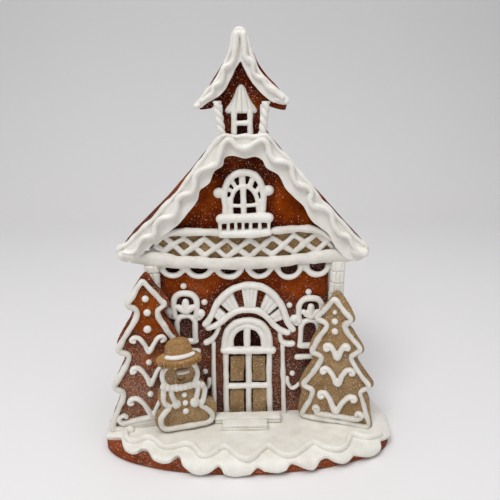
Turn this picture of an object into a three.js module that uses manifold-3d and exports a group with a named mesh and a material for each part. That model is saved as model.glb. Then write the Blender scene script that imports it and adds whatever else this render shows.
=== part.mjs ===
// Decorative gingerbread house: a village house with a steeple, standing on its own snow-covered board with two
// tree biscuits and a snowman biscuit. Millimetres, +Z up, front towards -Y, origin under the middle of the board.
// Y below counts from a line across the board; the last lines move the whole by MIDDLE so that the origin is in the middle.
import * as THREE from 'three';
import { mergeVertices } from 'three/addons/utils/BufferGeometryUtils.js';
import Module from 'manifold-3d';

const wasm = await Module();
wasm.setup();

// ---------------------------------------------------------------- driving dimensions
const GAP = 0.3;                                   // clearance between pieces that rest on each other
const MIDDLE = 17.5;
const BOARD = { half: 96, back: 33, bend: -34, bulge: 34, top: 7, taper: 78 };
const SNOW = { over: 1.2, top: 10, lobePitch: 22.5, skirt: 0.9 };
const ROPE = { inset: 6.6, swing: 3.9, pitch: 27, width: 3.9, high: 2.6 };
const WALL = { left: -60.6, right: 52, front: -12.5, back: 22 };
// Each slope falls by a*d - b*d*d at a distance d from the ridge line, so it flattens towards the eaves.
const ROOF = { x: -4.4, ridge: 223.2, a: [1.331, 1.161], b: [0.0027, 0.00067], thick: 6.5, left: -81.8, right: 73.6, front: -19, back: 27, sag: 1.6 };
const TRIM = { front: -22.6, topZ: 206.3, topL: -16.5, topR: 8.6, inZ: 193, inL: -13.4, inR: 4.6, deep: 18.2 };
const BEAM = {
  front: -20.4,                                    // upper and lower edge of the icing beam: it sags in the middle
  over: [[-71.6, 128.6], [-67.6, 131], [-58.5, 131.5], [-48.5, 128.8], [-31.7, 127.9], [-16.4, 127.3], [0.5, 127.7], [20.1, 128.1], [38, 130.2], [53, 131.6], [58, 129.4], [61.8, 126.3]],
  under: [[-71.6, 124], [-63.2, 122.2], [-48.9, 120.9], [-25.1, 120.1], [-12.3, 119.5], [0.6, 119.3], [13.4, 120.5], [26.3, 121.7], [39.1, 123], [52, 123.7], [61.8, 124.2]],
};
const LATTICE = {
  x0: -60.2, x1: 51.6, z1: 147.5, strip: 3.7,      // rows of crossings: high, middle and low
  high: [[-55.7, 142], [-42.8, 140.6], [-29.8, 140], [-15.5, 139], [-0.8, 139.1], [13.8, 140.2], [27.7, 141.8], [42.2, 142.5]],
  mid: [[-62.7, 136.4], [-49.7, 136.3], [-36.5, 134.8], [-22.7, 133.7], [-8.3, 133.1], [6.4, 133.7], [20.9, 135], [35.1, 136.7], [49.2, 137.4]],
  low: [[-56.2, 131.8], [-43.2, 129.5], [-30.1, 128.4], [-15.6, 126.9], [-0.8, 127.2], [13.9, 128.8], [28, 129.8], [42.6, 130.8]],
};
const SCALLOP = { band: 3.9, rings: [[-50.8, 6.6, 114.9], [-33.5, 7.7, 114.2], [-14.2, 7.7, 113.6], [5.8, 7.1, 113.8], [25.2, 7.55, 112.9], [43.7, 6.9, 114.6]] };
const COLUMN = { r: 4.7, y: -15.2, left: -64.7, right: 57.2, ring: 8.1 };
const STEEPLE = { x: -5.4, half: 11.5, front: -15, back: 9, foot: 206, roofFront: -19, roofBack: 12 };
const DOOR = { x: -2.1, jamb: 15.2, lintelZ: 60.5, foot: 10.3, archR: 17.9, archTop: 84.8 };
const TREE = { thick: 4.8, icing: 2.4, line: 3.6, foot: 10.4 };

// ---------------------------------------------------------------- looks
const look = (color, roughness) => new THREE.MeshStandardMaterial({ color, roughness, metalness: 0 });
const BROWN = look(0x7a3d1e, 0.75);
const TAN = look(0xa67b4b, 0.8);
const STRAW = look(0xc08a52, 0.8);
const ICING = look(0xe8e5dd, 0.45);
const SNOWY = look(0xf1efea, 0.6);

const house = new THREE.Group();
const piece = (name, geometry, material, parent = house) => {
  const mesh = new THREE.Mesh(geometry, material);
  mesh.name = name;
  parent.add(mesh);
  return mesh;
};

// ---------------------------------------------------------------- solids: join and cut
function solid(geometry) {
  const g = geometry.clone();
  g.deleteAttribute('normal');
  g.deleteAttribute('uv');
  const m = mergeVertices(g, 1e-3);
  const index = m.index.array, keep = [];
  for (let i = 0; i < index.length; i += 3) {
    const [a, b, c] = [index[i], index[i + 1], index[i + 2]];
    if (a !== b && b !== c && a !== c) keep.push(a, b, c);
  }
  return new wasm.Manifold(new wasm.Mesh({
    numProp: 3,
    vertProperties: new Float32Array(m.attributes.position.array),
    triVerts: new Uint32Array(keep),
  }));
}
function geometry(manifold) {
  const m = manifold.getMesh();
  const g = new THREE.BufferGeometry();
  g.setAttribute('position', new THREE.BufferAttribute(new Float32Array(m.vertProperties), 3));
  g.setIndex(new THREE.BufferAttribute(new Uint32Array(m.triVerts), 1));
  g.computeVertexNormals();
  return g;
}
const join = (...parts) => geometry(parts.map(solid).reduce((a, b) => a.add(b)));
const cut = (from, ...tools) => geometry(tools.map(solid).reduce((a, b) => a.subtract(b), solid(from)));
const common = (a, b) => geometry(solid(a).intersect(solid(b)));

// ---------------------------------------------------------------- outlines, as [across, up] points
const DEG = Math.PI / 180;
const lerp = (a, b, t) => a + (b - a) * t;
function arc(cx, cz, rx, rz, from, to, n) {
  return Array.from({ length: n + 1 }, (_, i) => {
    const a = lerp(from, to, i / n) * DEG;
    return [cx + rx * Math.cos(a), cz + rz * Math.sin(a)];
  });
}
const ellipse = (cx, cz, rx, rz, n) => arc(cx, cz, rx, rz, 0, 360, n).slice(0, n);
const rect = (x0, z0, x1, z1) => [[x0, z0], [x1, z0], [x1, z1], [x0, z1]];
// A round-topped opening or frame: straight sides from z0, a half-round head of height rz ending at z1.
const arch = (cx, half, z0, z1, rz = half, n = 10) => [
  [cx - half, z0], [cx + half, z0], ...arc(cx, z1 - rz, half, rz, 0, 180, n),
];
// A bar with half-round ends.
const bar = (x0, x1, z0, z1, n = 4) => {
  const r = (z1 - z0) / 2, cz = (z0 + z1) / 2;
  return [...arc(x1 - r, cz, r, r, -90, 90, n), ...arc(x0 + r, cz, r, r, 90, 270, n)];
};
const through = (points, n) =>
  new THREE.SplineCurve(points.map(([x, z]) => new THREE.Vector2(x, z))).getPoints(n).map((p) => [p.x, p.y]);
// The outline of a piped line of the given width along a path, with round ends.
function line(path, width, ends = 4) {
  const h = width / 2, left = [], right = [];
  let t0, t1;
  path.forEach((p, i) => {
    const a = path[Math.max(i - 1, 0)], b = path[Math.min(i + 1, path.length - 1)];
    const l = Math.hypot(b[0] - a[0], b[1] - a[1]), tx = (b[0] - a[0]) / l, tz = (b[1] - a[1]) / l;
    left.push([p[0] - tz * h, p[1] + tx * h]);
    right.push([p[0] + tz * h, p[1] - tx * h]);
    if (i === 0) t0 = Math.atan2(tz, tx) / DEG;
    t1 = Math.atan2(tz, tx) / DEG;
  });
  const end = path[path.length - 1];
  return [
    ...left, ...arc(end[0], end[1], h, h, t1 + 90, t1 - 90, ends).slice(1, -1),
    ...right.reverse(), ...arc(path[0][0], path[0][1], h, h, t0 - 90, t0 - 270, ends).slice(1, -1),
  ];
}
const vec = (points) => points.map(([x, z]) => new THREE.Vector2(x, z));
// Openings are hand-cut, so each one is turned a little from true.
const askew = (points, turn) => {
  const cx = points.reduce((t, p) => t + p[0], 0) / points.length, cz = points.reduce((t, p) => t + p[1], 0) / points.length;
  const c = Math.cos(turn * DEG), s = Math.sin(turn * DEG);
  return points.map(([x, z]) => [cx + (x - cx) * c - (z - cz) * s, cz + (x - cx) * s + (z - cz) * c]);
};
function shape(outline, holes = []) {
  const s = new THREE.Shape(vec(outline));
  holes.forEach((hole, i) => s.holes.push(new THREE.Path(vec(holes.length > 1 ? askew(hole, 0.5 + 0.37 * (i % 9)) : hole))));
  return s;
}
// An outline standing upright, from its back at y = back to its front at y = front.
function upright(outline, back, front, holes = [], bevel = 0) {
  const g = new THREE.ExtrudeGeometry(shape(outline, holes), bevel
    ? { depth: back - front - 2 * bevel, bevelEnabled: true, bevelThickness: bevel, bevelSize: bevel, bevelOffset: -bevel, bevelSegments: 1 }
    : { depth: back - front, bevelEnabled: false });
  return g.rotateX(Math.PI / 2).translate(0, back - bevel, 0);
}
// An outline lying flat in X and Y, from z = low to z = high.
const lying = (outline, low, high, holes = []) =>
  new THREE.ExtrudeGeometry(shape(outline, holes), { depth: high - low, bevelEnabled: false }).translate(0, 0, low);
// A profile in Y and Z that runs along X.
const alongX = (profile, x0, x1) =>
  new THREE.ExtrudeGeometry(shape(profile), { depth: x1 - x0, bevelEnabled: false })
    .applyMatrix4(new THREE.Matrix4().makeBasis(
      new THREE.Vector3(0, 1, 0), new THREE.Vector3(0, 0, 1), new THREE.Vector3(1, 0, 0)))
    .translate(x0, 0, 0);
const block = (x0, x1, y0, y1, z0, z1) =>
  new THREE.BoxGeometry(x1 - x0, y1 - y0, z1 - z0).translate((x0 + x1) / 2, (y0 + y1) / 2, (z0 + z1) / 2);
const knob = (x, z, r, back, front) => upright(ellipse(x, z, r, r, 8), back, front);

// ---------------------------------------------------------------- board and snow
// The board: a bowed front, sides that draw in towards a straight back. grow pushes the whole outline outwards.
function boardOutline(grow, n = 18) {
  const h = BOARD.half + grow, deep = BOARD.back - BOARD.bend, side = [];
  for (let i = 1; i <= 7; i++) {
    const d = deep * (i / 7) ** 0.8;
    side.push([h * (1 - (d / BOARD.taper) ** 2.6) ** 0.42, BOARD.bend + d + (grow * d) / deep]);
  }
  return [...arc(0, BOARD.bend, h, BOARD.bulge + grow, 180, 360, n), ...side, ...side.map(([x, y]) => [-x, y]).reverse()];
}
piece('base_plate', lying(boardOutline(0), 0, BOARD.top), BROWN);

// Points spaced evenly round an outline, each with its inward direction.
function around(outline, step, wave = () => 0) {
  const n = outline.length, out = [];
  let travelled = 0, next = 0;
  for (let i = 0; i < n; i++) {
    const a = outline[i], b = outline[(i + 1) % n];
    const l = Math.hypot(b[0] - a[0], b[1] - a[1]);
    if (l < 1e-6) continue;
    const tx = (b[0] - a[0]) / l, ty = (b[1] - a[1]) / l;
    while (next < travelled + l) {
      const s = next - travelled, w = wave(next);
      out.push({ x: a[0] + tx * s - ty * w, y: a[1] + ty * s + tx * w, tx, ty });
      next += step;
    }
    travelled += l;
  }
  return out;
}
const perimeter = (outline) => outline.reduce((sum, a, i) => {
  const b = outline[(i + 1) % outline.length];
  return sum + Math.hypot(b[0] - a[0], b[1] - a[1]);
}, 0);

// Snow: a sheet over the board with a hanging skirt, cut into drips of uneven length.
{
  const outer = boardOutline(SNOW.over), inner = boardOutline(GAP);
  const sheet = lying(outer, BOARD.top, SNOW.top);
  const skirt = lying(outer, SNOW.skirt, BOARD.top + 0.5, [inner.slice().reverse()]);
  const length = perimeter(outer), count = Math.round(length / SNOW.lobePitch);
  const notches = around(outer, length / count).slice(0, count).map((p, i) => {
    const half = (SNOW.lobePitch / 2) * (0.52 + 0.14 * Math.sin(i * 2.4)), tall = 4.6 + 0.9 * Math.sin(i * 1.7);
    const angle = Math.atan2(p.ty, p.tx);
    return upright([[-half, -1], [half, -1], [half, 1.2], ...arc(0, 1.2, half, tall, 38, 142, 2), [-half, 1.2]], 4, -4)
      .rotateZ(angle).translate(p.x, p.y, 0);
  });
  piece('base_snow', cut(join(sheet, skirt), ...notches), SNOWY);
}

// The wavy piped line that follows the edge of the snow round the front and both sides.
{
  const edge = boardOutline(-ROPE.inset, 48), length = perimeter(edge);
  const wave = (s) => ROPE.swing * Math.cos((s / ROPE.pitch) * 2 * Math.PI);
  const run = around(edge, 4.9, wave).filter((p) => p.y < -37.4).map((p) => [p.x, p.y]);
  const jump = run.findIndex((p, i) => i && Math.hypot(p[0] - run[i - 1][0], p[1] - run[i - 1][1]) > 20);
  const points = jump < 0 ? run : [...run.slice(jump), ...run.slice(0, jump)];
  piece('base_rope', lying(line(points, ROPE.width), SNOW.top, SNOW.top + ROPE.high), ICING);
}

// ---------------------------------------------------------------- walls and main roof
// Height of a slope's top at x; lower pushes it down square to the slope.
function roofTop(x, lower = 0) {
  const side = x < ROOF.x ? 0 : 1, d = Math.abs(x - ROOF.x), slope = ROOF.a[side] - 2 * ROOF.b[side] * d;
  return ROOF.ridge - ROOF.a[side] * d + ROOF.b[side] * d * d - lower * Math.hypot(1, slope);
}
{
  const under = ROOF.thick + GAP + ROOF.sag, flat = STEEPLE.foot - 1.4, walls = [];
  for (let i = 0; i <= 12; i++) walls.push(lerp(WALL.right, WALL.left, i / 12));
  piece('house_body', upright([
    [WALL.left, SNOW.top], [WALL.right, SNOW.top], ...walls.map((x) => [x, Math.min(flat, roofTop(x, under))]),
  ], WALL.back, WALL.front), BROWN);

  // Slabs bent to the slope's curve; the back ends hang slightly lower than the front ones.
  const notch = block(ROOF.x - 16, ROOF.x + 16, ROOF.front - 5, STEEPLE.back + 0.5, STEEPLE.foot - GAP, ROOF.ridge + 10);
  for (const [name, side, tip] of [['roof_left', -1, ROOF.left], ['roof_right', 1, ROOF.right]]) {
    const inner = ROOF.x + side * GAP / 2, n = 7, top = [], low = [];
    for (let i = 0; i <= n; i++) {
      const x = lerp(inner, tip, i / n), u = lerp(inner, tip - side * ROOF.thick * 0.7, i / n);
      top.push([x, roofTop(x)]);
      low.push([u, roofTop(u, ROOF.thick)]);
    }
    const outline = [...top, ...low.reverse()];
    if (side > 0) outline.reverse();
    const slab = upright(outline, ROOF.back, ROOF.front), p = slab.attributes.position;
    for (let i = 0; i < p.count; i++) p.setZ(i, p.getZ(i) - (p.getY(i) > 0 ? ROOF.sag : 0));
    piece(name, cut(slab, notch), BROWN);
  }
}

// Icing band along both slopes of the gable, with gently scalloped edges and a flat crown under the steeple.
function gableBand(back, front, crown, drop = 0) {
  const n = crown ? 13 : 8, outer = [], inner = [], T = TRIM;
  const ripple = (t, size) => (crown ? size * Math.sin(t * 2 * Math.PI * 4.6 + 0.4) * Math.min(1, 8 * t, 8 * (1 - t)) : 0);
  for (const side of [-1, 1]) {
    const tip = side < 0 ? -82.4 : 72.8, hip = side < 0 ? T.topL : T.topR, from = side < 0 ? -66 : 57.6, to = side < 0 ? T.inL : T.inR;
    const up = [], down = [];
    for (let i = 0; i <= n; i++) {
      const t = i / n, x = lerp(tip, hip, t), u = lerp(from, to, t);
      up.push([x, Math.min(crown ? T.topZ : 999, roofTop(x, 0.8) + ripple(t, 0.9) - drop)]);
      down.push([u, roofTop(u, 0.8) - T.deep - 1.6 * Math.sin(Math.PI * t) + ripple(t, 1.1) - drop]);
    }
    if (side < 0) { outer.unshift(...up); inner.unshift(...down); } else { outer.push(...up.reverse()); inner.push(...down.reverse()); }
  }
  if (!crown) outer.splice(n + 1, 0, [ROOF.x, roofTop(ROOF.x, 0.8) - drop]);
  const right = [[75, 132.2], [74.6, 129], [71, 126.6], [62.6, 126.8]], left = [[-72.6, 130.7], [-79.8, 126.8], [-83.6, 128.8], [-84.2, 132]];
  return upright([...outer, ...right, ...inner.reverse(), ...left].reverse(), back, front);
}
piece('roof_trim', gableBand(ROOF.front, TRIM.front, true), ICING);
piece('roof_trim_back', gableBand(ROOF.back + 3.2, ROOF.back, false, ROOF.sag), ICING);

// The stepped wave piped along the band. Crests touch the outer edge, hollows the inner one; the steps shorten downwards.
{
  const crestsL = [[-13.9, 203.4], [-33.2, 182.6], [-44.8, 168.6], [-58.2, 153.4], [-69.8, 140.8]];
  const hollowsL = [[-20.2, 189.6], [-35.2, 174.6], [-46.8, 160], [-60.8, 146.4], [-72.4, 135]];
  const crestsR = [[7.6, 203.2], [22.8, 189.6], [36.8, 173.2], [48.8, 159.6], [61.8, 143.6]];
  const hollowsR = [[11.9, 192.2], [26, 178], [36.4, 164.6], [53.4, 146.6], [65.8, 134.4]];
  const zigzag = (c, h, end) => [...c.flatMap((p, i) => [p, h[i]]), end];
  const left = zigzag(crestsL, hollowsL, [-80, 133.4]), right = zigzag(crestsR, hollowsR, [72.4, 132.2]);
  piece('roof_trim_rope', upright(line(through([...left.reverse(), [-4.8, 198.3], ...right], 66), 3.8), TRIM.front, TRIM.front - 2.8), ICING);
}

// ---------------------------------------------------------------- gable front: panel, lattice, rails, beam, scallops
// Height of a line of points at x.
const level = (points, x) => {
  const i = Math.max(1, Math.min(points.length - 1, points.findIndex((p) => p[0] >= x)));
  const [a, b] = [points[i - 1], points[i]];
  return lerp(a[1], b[1], (x - a[0]) / (b[0] - a[0]));
};
{
  const L = LATTICE, y0 = WALL.front, y1 = y0 - 1.8, y2 = y1 - 2.4, lift = 0.7;
  const foot = [L.x0, ...BEAM.over.map((p) => p[0]).filter((x) => x > L.x0 + 1 && x < L.x1 - 1), L.x1].map((x) => [x, level(BEAM.over, x) + GAP]);
  piece('gable_panel', upright([...foot, [L.x1, L.z1], [L.x0, L.z1]], y0, y1), TAN);
  // The crossed strips leave one row of whole diamonds, with half ones above and below it.
  const diamonds = [], w = L.strip * 0.75, h = L.strip * 0.62;
  for (let k = 0; k < 8; k++) {
    const [m0, m1, t, b] = [L.mid[k], L.mid[k + 1], L.high[k], L.low[k]];
    diamonds.push([[Math.max(m0[0], L.x0) + w, m0[1]], [b[0], Math.max(b[1] + h, level(BEAM.over, b[0]) + 1.1)], [m1[0] - w, m1[1]], [t[0], t[1] - h]]);
    if (k && k < 7) {
      const t0 = L.high[k - 1], top = Math.min(t0[1], t[1]) + lift;
      const [x0, x1] = [L.low[k - 1][0] + w * 1.1, b[0] - w * 1.1], [z0, z1] = [x0, x1].map((x) => level(BEAM.over, x) + 1.3);
      if (m0[1] - h - Math.max(z0, z1) > 1.2) diamonds.push([[x0, z0], [x1, z1], [m0[0], m0[1] - h]]);
      diamonds.push([[t0[0] + w, top], [m0[0], m0[1] + h], [t[0] - w, top + 0.1]]);
    }
  }
  const lattice = upright([...foot, [L.x1, L.z1], [14, L.z1 - 0.5], [13, L.z1 - 3.6],
    [-22, L.z1 - 3.7], [-23, L.z1 - 0.5], [L.x0, L.z1]], y1, y2, diamonds);
  piece('lattice', lattice, ICING);
  piece('lattice_rail_left', upright(bar(-49.6, -20.8, 142.2, 147.2), y2 - 0.1, y2 - 3.4), ICING);
  piece('lattice_rail_right', upright(bar(14.4, 46.2, 142.9, 148.1), y2 - 0.1, y2 - 3.4), ICING);
}
piece('beam', upright([...BEAM.under, ...BEAM.over.slice().reverse()], WALL.front, BEAM.front, [], 1), ICING);
{
  const h = SCALLOP.band / 2, xs = [-57.6, -45, -25.1, -12.3, 0.6, 13.4, 26.3, 39.1, 50.8], top = xs.map((x) => [x, level(BEAM.under, x) - GAP]);
  const rings = [upright([...top.map(([x, z]) => [x, z - 1.7]), ...top.slice().reverse()], WALL.front, -17)];
  for (const [cx, r, low] of SCALLOP.rings) {
    const z = level(BEAM.under, cx) - 1.2, drop = z - low;
    const outer = arc(cx, z, r + h, drop + h, 0, -180, 8), hole = arc(cx, z - 0.6, r - h, drop - h - 0.6, 0, -180, 5);
    rings.push(upright(outer.reverse(), WALL.front, -17.2, [hole.reverse()]));
  }
  piece('scallops', join(...rings), ICING);
}

// ---------------------------------------------------------------- attic window with its balcony
{
  const cx = -4.2, back = WALL.front, front = -16.2, foot = 157.8;
  const holes = [arch(cx - 4.3, 2.5, 163.6, 172.2, 4.6, 5), arch(cx + 4.3, 2.5, 163.6, 172.2, 4.6, 5),
    rect(cx - 6.9, foot + 0.9, cx - 1.7, 160.9), rect(cx + 1.7, foot + 0.9, cx + 6.9, 160.9)];
  for (let i = 0; i < 6; i++) {
    const a = (172 - i * 32.8) * DEG, r = 10.1, x = cx + r * Math.cos(a) * 1.03, z = 169.4 + r * Math.sin(a) * 1.02;
    holes.push(ellipse(0, 0, 1.15, 1.7, 6).map(([u, v]) => [x + u * Math.sin(a) + v * Math.cos(a), z - u * Math.cos(a) + v * Math.sin(a)]));
  }
  piece('attic_window', join(
    upright(arch(cx, 13.5, foot, 185.1, 14.2, 12), back, front, holes),
    knob(-20, 170.8, 3.3, back, front - 0.6), knob(11.5, 171.6, 3.3, back, front - 0.6)), ICING);
  const parts = [upright(bar(-21.7, 14.1, 151.4, 157.4), back, -21.4), upright(bar(-20.8, 14.3, 141.7, 147.4), -17.2, -21)];
  for (let i = 0; i < 7; i++) {
    const x = lerp(-17.6, 11, i / 6);
    parts.push(block(x - 1.1, x + 1.1, -19.6, -17.4, 147, 152));
  }
  piece('attic_balcony', join(...parts), ICING);
}

// ---------------------------------------------------------------- corner columns: stacked, softly ringed drums
function column(x, y, z0, z1, ring = COLUMN.ring) {
  const n = Math.round((z1 - z0) / ring), h = (z1 - z0) / n, waist = COLUMN.r * 0.9;
  const profile = [new THREE.Vector2(0, z0), new THREE.Vector2(waist, z0)];
  for (let i = 0; i < n; i++) {
    profile.push(new THREE.Vector2(COLUMN.r, z0 + h * (i + 0.5)), new THREE.Vector2(waist, z0 + h * (i + 1)));
  }
  profile.push(new THREE.Vector2(0, z1));
  return new THREE.LatheGeometry(profile, 7).rotateX(Math.PI / 2).translate(x, y, 0);
}
piece('column_left', column(COLUMN.left, COLUMN.y, SNOW.top, 121.6), ICING);
piece('column_right', column(COLUMN.right, COLUMN.y, SNOW.top, 123.2), ICING);
piece('column_back_left', column(COLUMN.left - 1, WALL.back - 4, SNOW.top, 126, 24), ICING);
piece('column_back_right', column(COLUMN.right + 1, WALL.back - 4, SNOW.top, 126, 24), ICING);

// ---------------------------------------------------------------- door: tan leaf, frame, fan light
{
  const d = DOOR, back = WALL.front, leaf = back - 1.6, front = -17;
  piece('door_leaf', upright(rect(-15.6, d.foot, 11.6, 57), back, leaf), TAN);
  const frame = [upright(bar(-20.3, 17.1, 57.4, 63.5), back, front - 0.4)];
  for (const [x0, x1] of [[-19, -14.7], [-3.6, 1.1], [11, 15.2]]) frame.push(upright(rect(x0, d.foot, x1, 58.4), leaf, front));
  for (const [z0, z1] of [[30.6, 35], [d.foot, 12.4]]) frame.push(upright(rect(-15, z0, 11.4, z1), leaf, front - 0.3));
  piece('door_frame', join(...frame), ICING);
  const cx = d.x, foot = 63.5 + GAP;
  piece('door_fanlight', join(
    upright(arch(cx, d.archR, foot, d.archTop, d.archR + 0.4, 12), back, front, [arch(cx, d.archR - 4.2, foot + 1, d.archTop - 4.1, d.archR - 4.1, 10)]),
    upright(arch(cx, d.archR - 4.6, foot, d.archTop - 4.7, d.archR - 4.6, 10), back, front - 0.2, [arch(cx, 8.9, foot + 1.2, 75.9, 8.9, 10)]),
    upright(rect(cx - 2.5, foot, cx + 2.5, 77), back, front - 0.5),
    upright(rect(cx - d.archR + 1, foot, cx + d.archR - 1, foot + 1.4), back, front + 0.4)), ICING);
}

// ---------------------------------------------------------------- thin posts, and the porch arch between them
for (const [name, xTop, xFoot, zTop, side, rise] of [['door_post_left', -25.6, -26.2, 63.5, -1, 11.6], ['door_post_right', 22.2, 23.6, 61, 1, 8.2]]) {
  const curl = through([[xTop, zTop - 3], [xTop + side * 0.6, zTop + 1.2], [xTop + side * 2.4, zTop + 3.6], [xTop + side * 5.4, zTop + 3.4]], 8);
  const top = through([[xTop + side * 2, zTop + 3], [xTop - side * 1.2, zTop + rise * 0.63], [xTop - side * 2.6, zTop + rise]], 6);
  piece(name, join(
    upright(line([[xFoot, SNOW.top + 2.1], [(xFoot + xTop) / 2, 38], [xTop, zTop]], 3.5), WALL.front, -17),
    upright(line(curl, 3.6), WALL.front, -17.2), upright(line(top, 3.2), WALL.front, -16.6)), ICING);
}
{
  const outer = [...arc(-0.9, 80, 24.4, 28.2, 176, 4, 13), [25.8, 76.2], [29, 75.4]];
  outer.unshift([-30.6, 81.4], [-27.6, 79.4]);
  const inner = through([[-30.4, 81.4], [-27.2, 78.9], [-22, 82], [-16.7, 86.3], [-10.8, 90], [-3.6, 91.3], [4.3, 90.2], [10.2, 85.8], [15.3, 80.2], [19.8, 75.6], [25, 73.6], [28.9, 75.2]], 17);
  const stones = [[-19.6, 85.4, -22, 92, 3.6], [-14.4, 88.4, -16.6, 99.4, 5], [-0.9, 91.6, -1, 106, 8.4], [10.4, 87, 14.4, 99.4, 5.2], [16.6, 80.6, 21.2, 91, 4]];
  piece('porch_arch', join(
    upright(line(outer, 4.8, 3), WALL.front, -18.2), upright(line(inner, 4.2, 3), WALL.front, -18),
    ...stones.map(([x0, z0, x1, z1, w]) => upright(line([[x0, z0], [x1, z1]], w, 2), WALL.front, -17.4))), ICING);
}

// ---------------------------------------------------------------- side windows: arched frame with a three-petal head
function windowIcing(cx, foot, back, front, knobs = [-11, 11]) {
  const frame = [
    [cx - 8.2, foot], [cx + 8.2, foot], [cx + 8.4, foot + 21], [cx + 9.7, foot + 24],
    ...arc(cx, foot + 30.2, 9.7, 9.8, 0, 180, 10), [cx - 9.7, foot + 24], [cx - 8.4, foot + 21]];
  const holes = [arch(cx, 3.7, foot + 5.9, foot + 19.9, 2.2, 5), arch(cx, 5.7, foot + 25.6, foot + 34.2, 5.7, 8)];
  const petal = (a, l, w) => ellipse(0, 0, w, l, 6).map(([u, v]) => {
    const s = Math.sin(a * DEG), c = Math.cos(a * DEG), r = v + l - 0.8;
    return [cx + u * c + r * s, foot + 25 + r * c - u * s];
  });
  return join(
    upright(frame, back, front, holes),
    upright(petal(0, 4.4, 2.1), back, front + 0.3), upright(petal(62, 3.7, 1.7), back, front + 0.3), upright(petal(-62, 3.7, 1.7), back, front + 0.3),
    ...knobs.map((u) => knob(cx + u, foot + 23, 3.2, back, front - 0.5)));
}
piece('window_left', windowIcing(-43.4, 65, WALL.front, -15.9), ICING);
piece('window_right', windowIcing(40.4, 60.2, WALL.front, -15.9, [-11]), ICING);
piece('window_sill_left', upright(bar(-53.2, -34.4, 57.6, 61.6), WALL.front, -16.4), ICING);
piece('window_sill_right', upright(bar(30.6, 49.6, 52, 56), WALL.front, -16.4), ICING);
for (const [name, x, side] of [['window_side_left', WALL.left, -1], ['window_side_right', WALL.right, 1]]) {
  const holder = new THREE.Group();
  holder.position.set(x, 1.5, 0);
  holder.rotation.z = side * Math.PI / 2;
  house.add(holder);
  piece(name, join(windowIcing(0, 62, -GAP, -3.7, []), upright(rect(-2, 58, 2, 63), -GAP, -3.2), upright(bar(-9, 9, 55, 59), -GAP, -4)), ICING, holder);
}

// Low waves piped on the wall beside the door.
piece('wall_wave_left', upright(line(through([[-29.9, 34.6], [-32.6, 31.6], [-37.4, 31], [-42, 34.6], [-47, 35]], 14), 3.2), WALL.front, -15.2), ICING);
piece('wall_wave_right', upright(line(through([[27.6, 35], [29.6, 29.8], [33, 28.6], [36.4, 33], [41.5, 34.6], [46, 31]], 16), 3.2), WALL.front, -15.2), ICING);

// ---------------------------------------------------------------- steps, each a slab with one groove along its edge
function step(x0, x1, back, front, top) {
  const z = SNOW.top, m = (top + z) / 2, g = 0.6;
  return alongX([
    [front + 0.4, z], [back, z], [back, top], [front + 0.6, top], [front, top - 0.5], [front, m + 0.25], [front + g, m], [front, m - 0.25], [front, z + 0.5]], x0, x1);
}
piece('step_upper', step(-25, 20.7, -17.8, -25.8, 12.8), ICING);
piece('step_lower', step(-19.9, 11, -26.1, -35, 13.1), ICING);

// ---------------------------------------------------------------- tree biscuits: three tiers, piped outline and swags
// tips and notches run from the top tier down, as [across, up]; the foot closes the outline.
function treeOutline(apex, right, left, foot, grow) {
  const out = [];
  const push = ([u, v], du, dv) => out.push([u + du * grow, v + dv * grow]);
  push([foot[0], 0], -1, 0);
  push([foot[1], 0], 1, 0);
  [...right].reverse().forEach((p, i) => (i % 2 ? push(p, 1, -0.25) : push(p, 0.8, -0.6)));
  push(apex, 0, 1.35);
  left.forEach((p, i) => (i % 2 ? push(p, -0.8, -0.6) : push(p, -1, -0.25)));
  return out;
}
function rounded(outline, r, n = 2) {
  const out = [], m = outline.length;
  outline.forEach((p, i) => {
    const a = outline[(i + m - 1) % m], b = outline[(i + 1) % m];
    const la = Math.hypot(a[0] - p[0], a[1] - p[1]), lb = Math.hypot(b[0] - p[0], b[1] - p[1]);
    const ka = Math.min(r, la * 0.45) / la, kb = Math.min(r, lb * 0.45) / lb;
    const s = [p[0] + (a[0] - p[0]) * ka, p[1] + (a[1] - p[1]) * ka], e = [p[0] + (b[0] - p[0]) * kb, p[1] + (b[1] - p[1]) * kb];
    for (let k = 0; k <= n; k++) {
      const t = k / n;
      out.push([(1 - t) ** 2 * s[0] + 2 * t * (1 - t) * p[0] + t * t * e[0], (1 - t) ** 2 * s[1] + 2 * t * (1 - t) * p[1] + t * t * e[1]]);
    }
  });
  return out;
}
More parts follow.
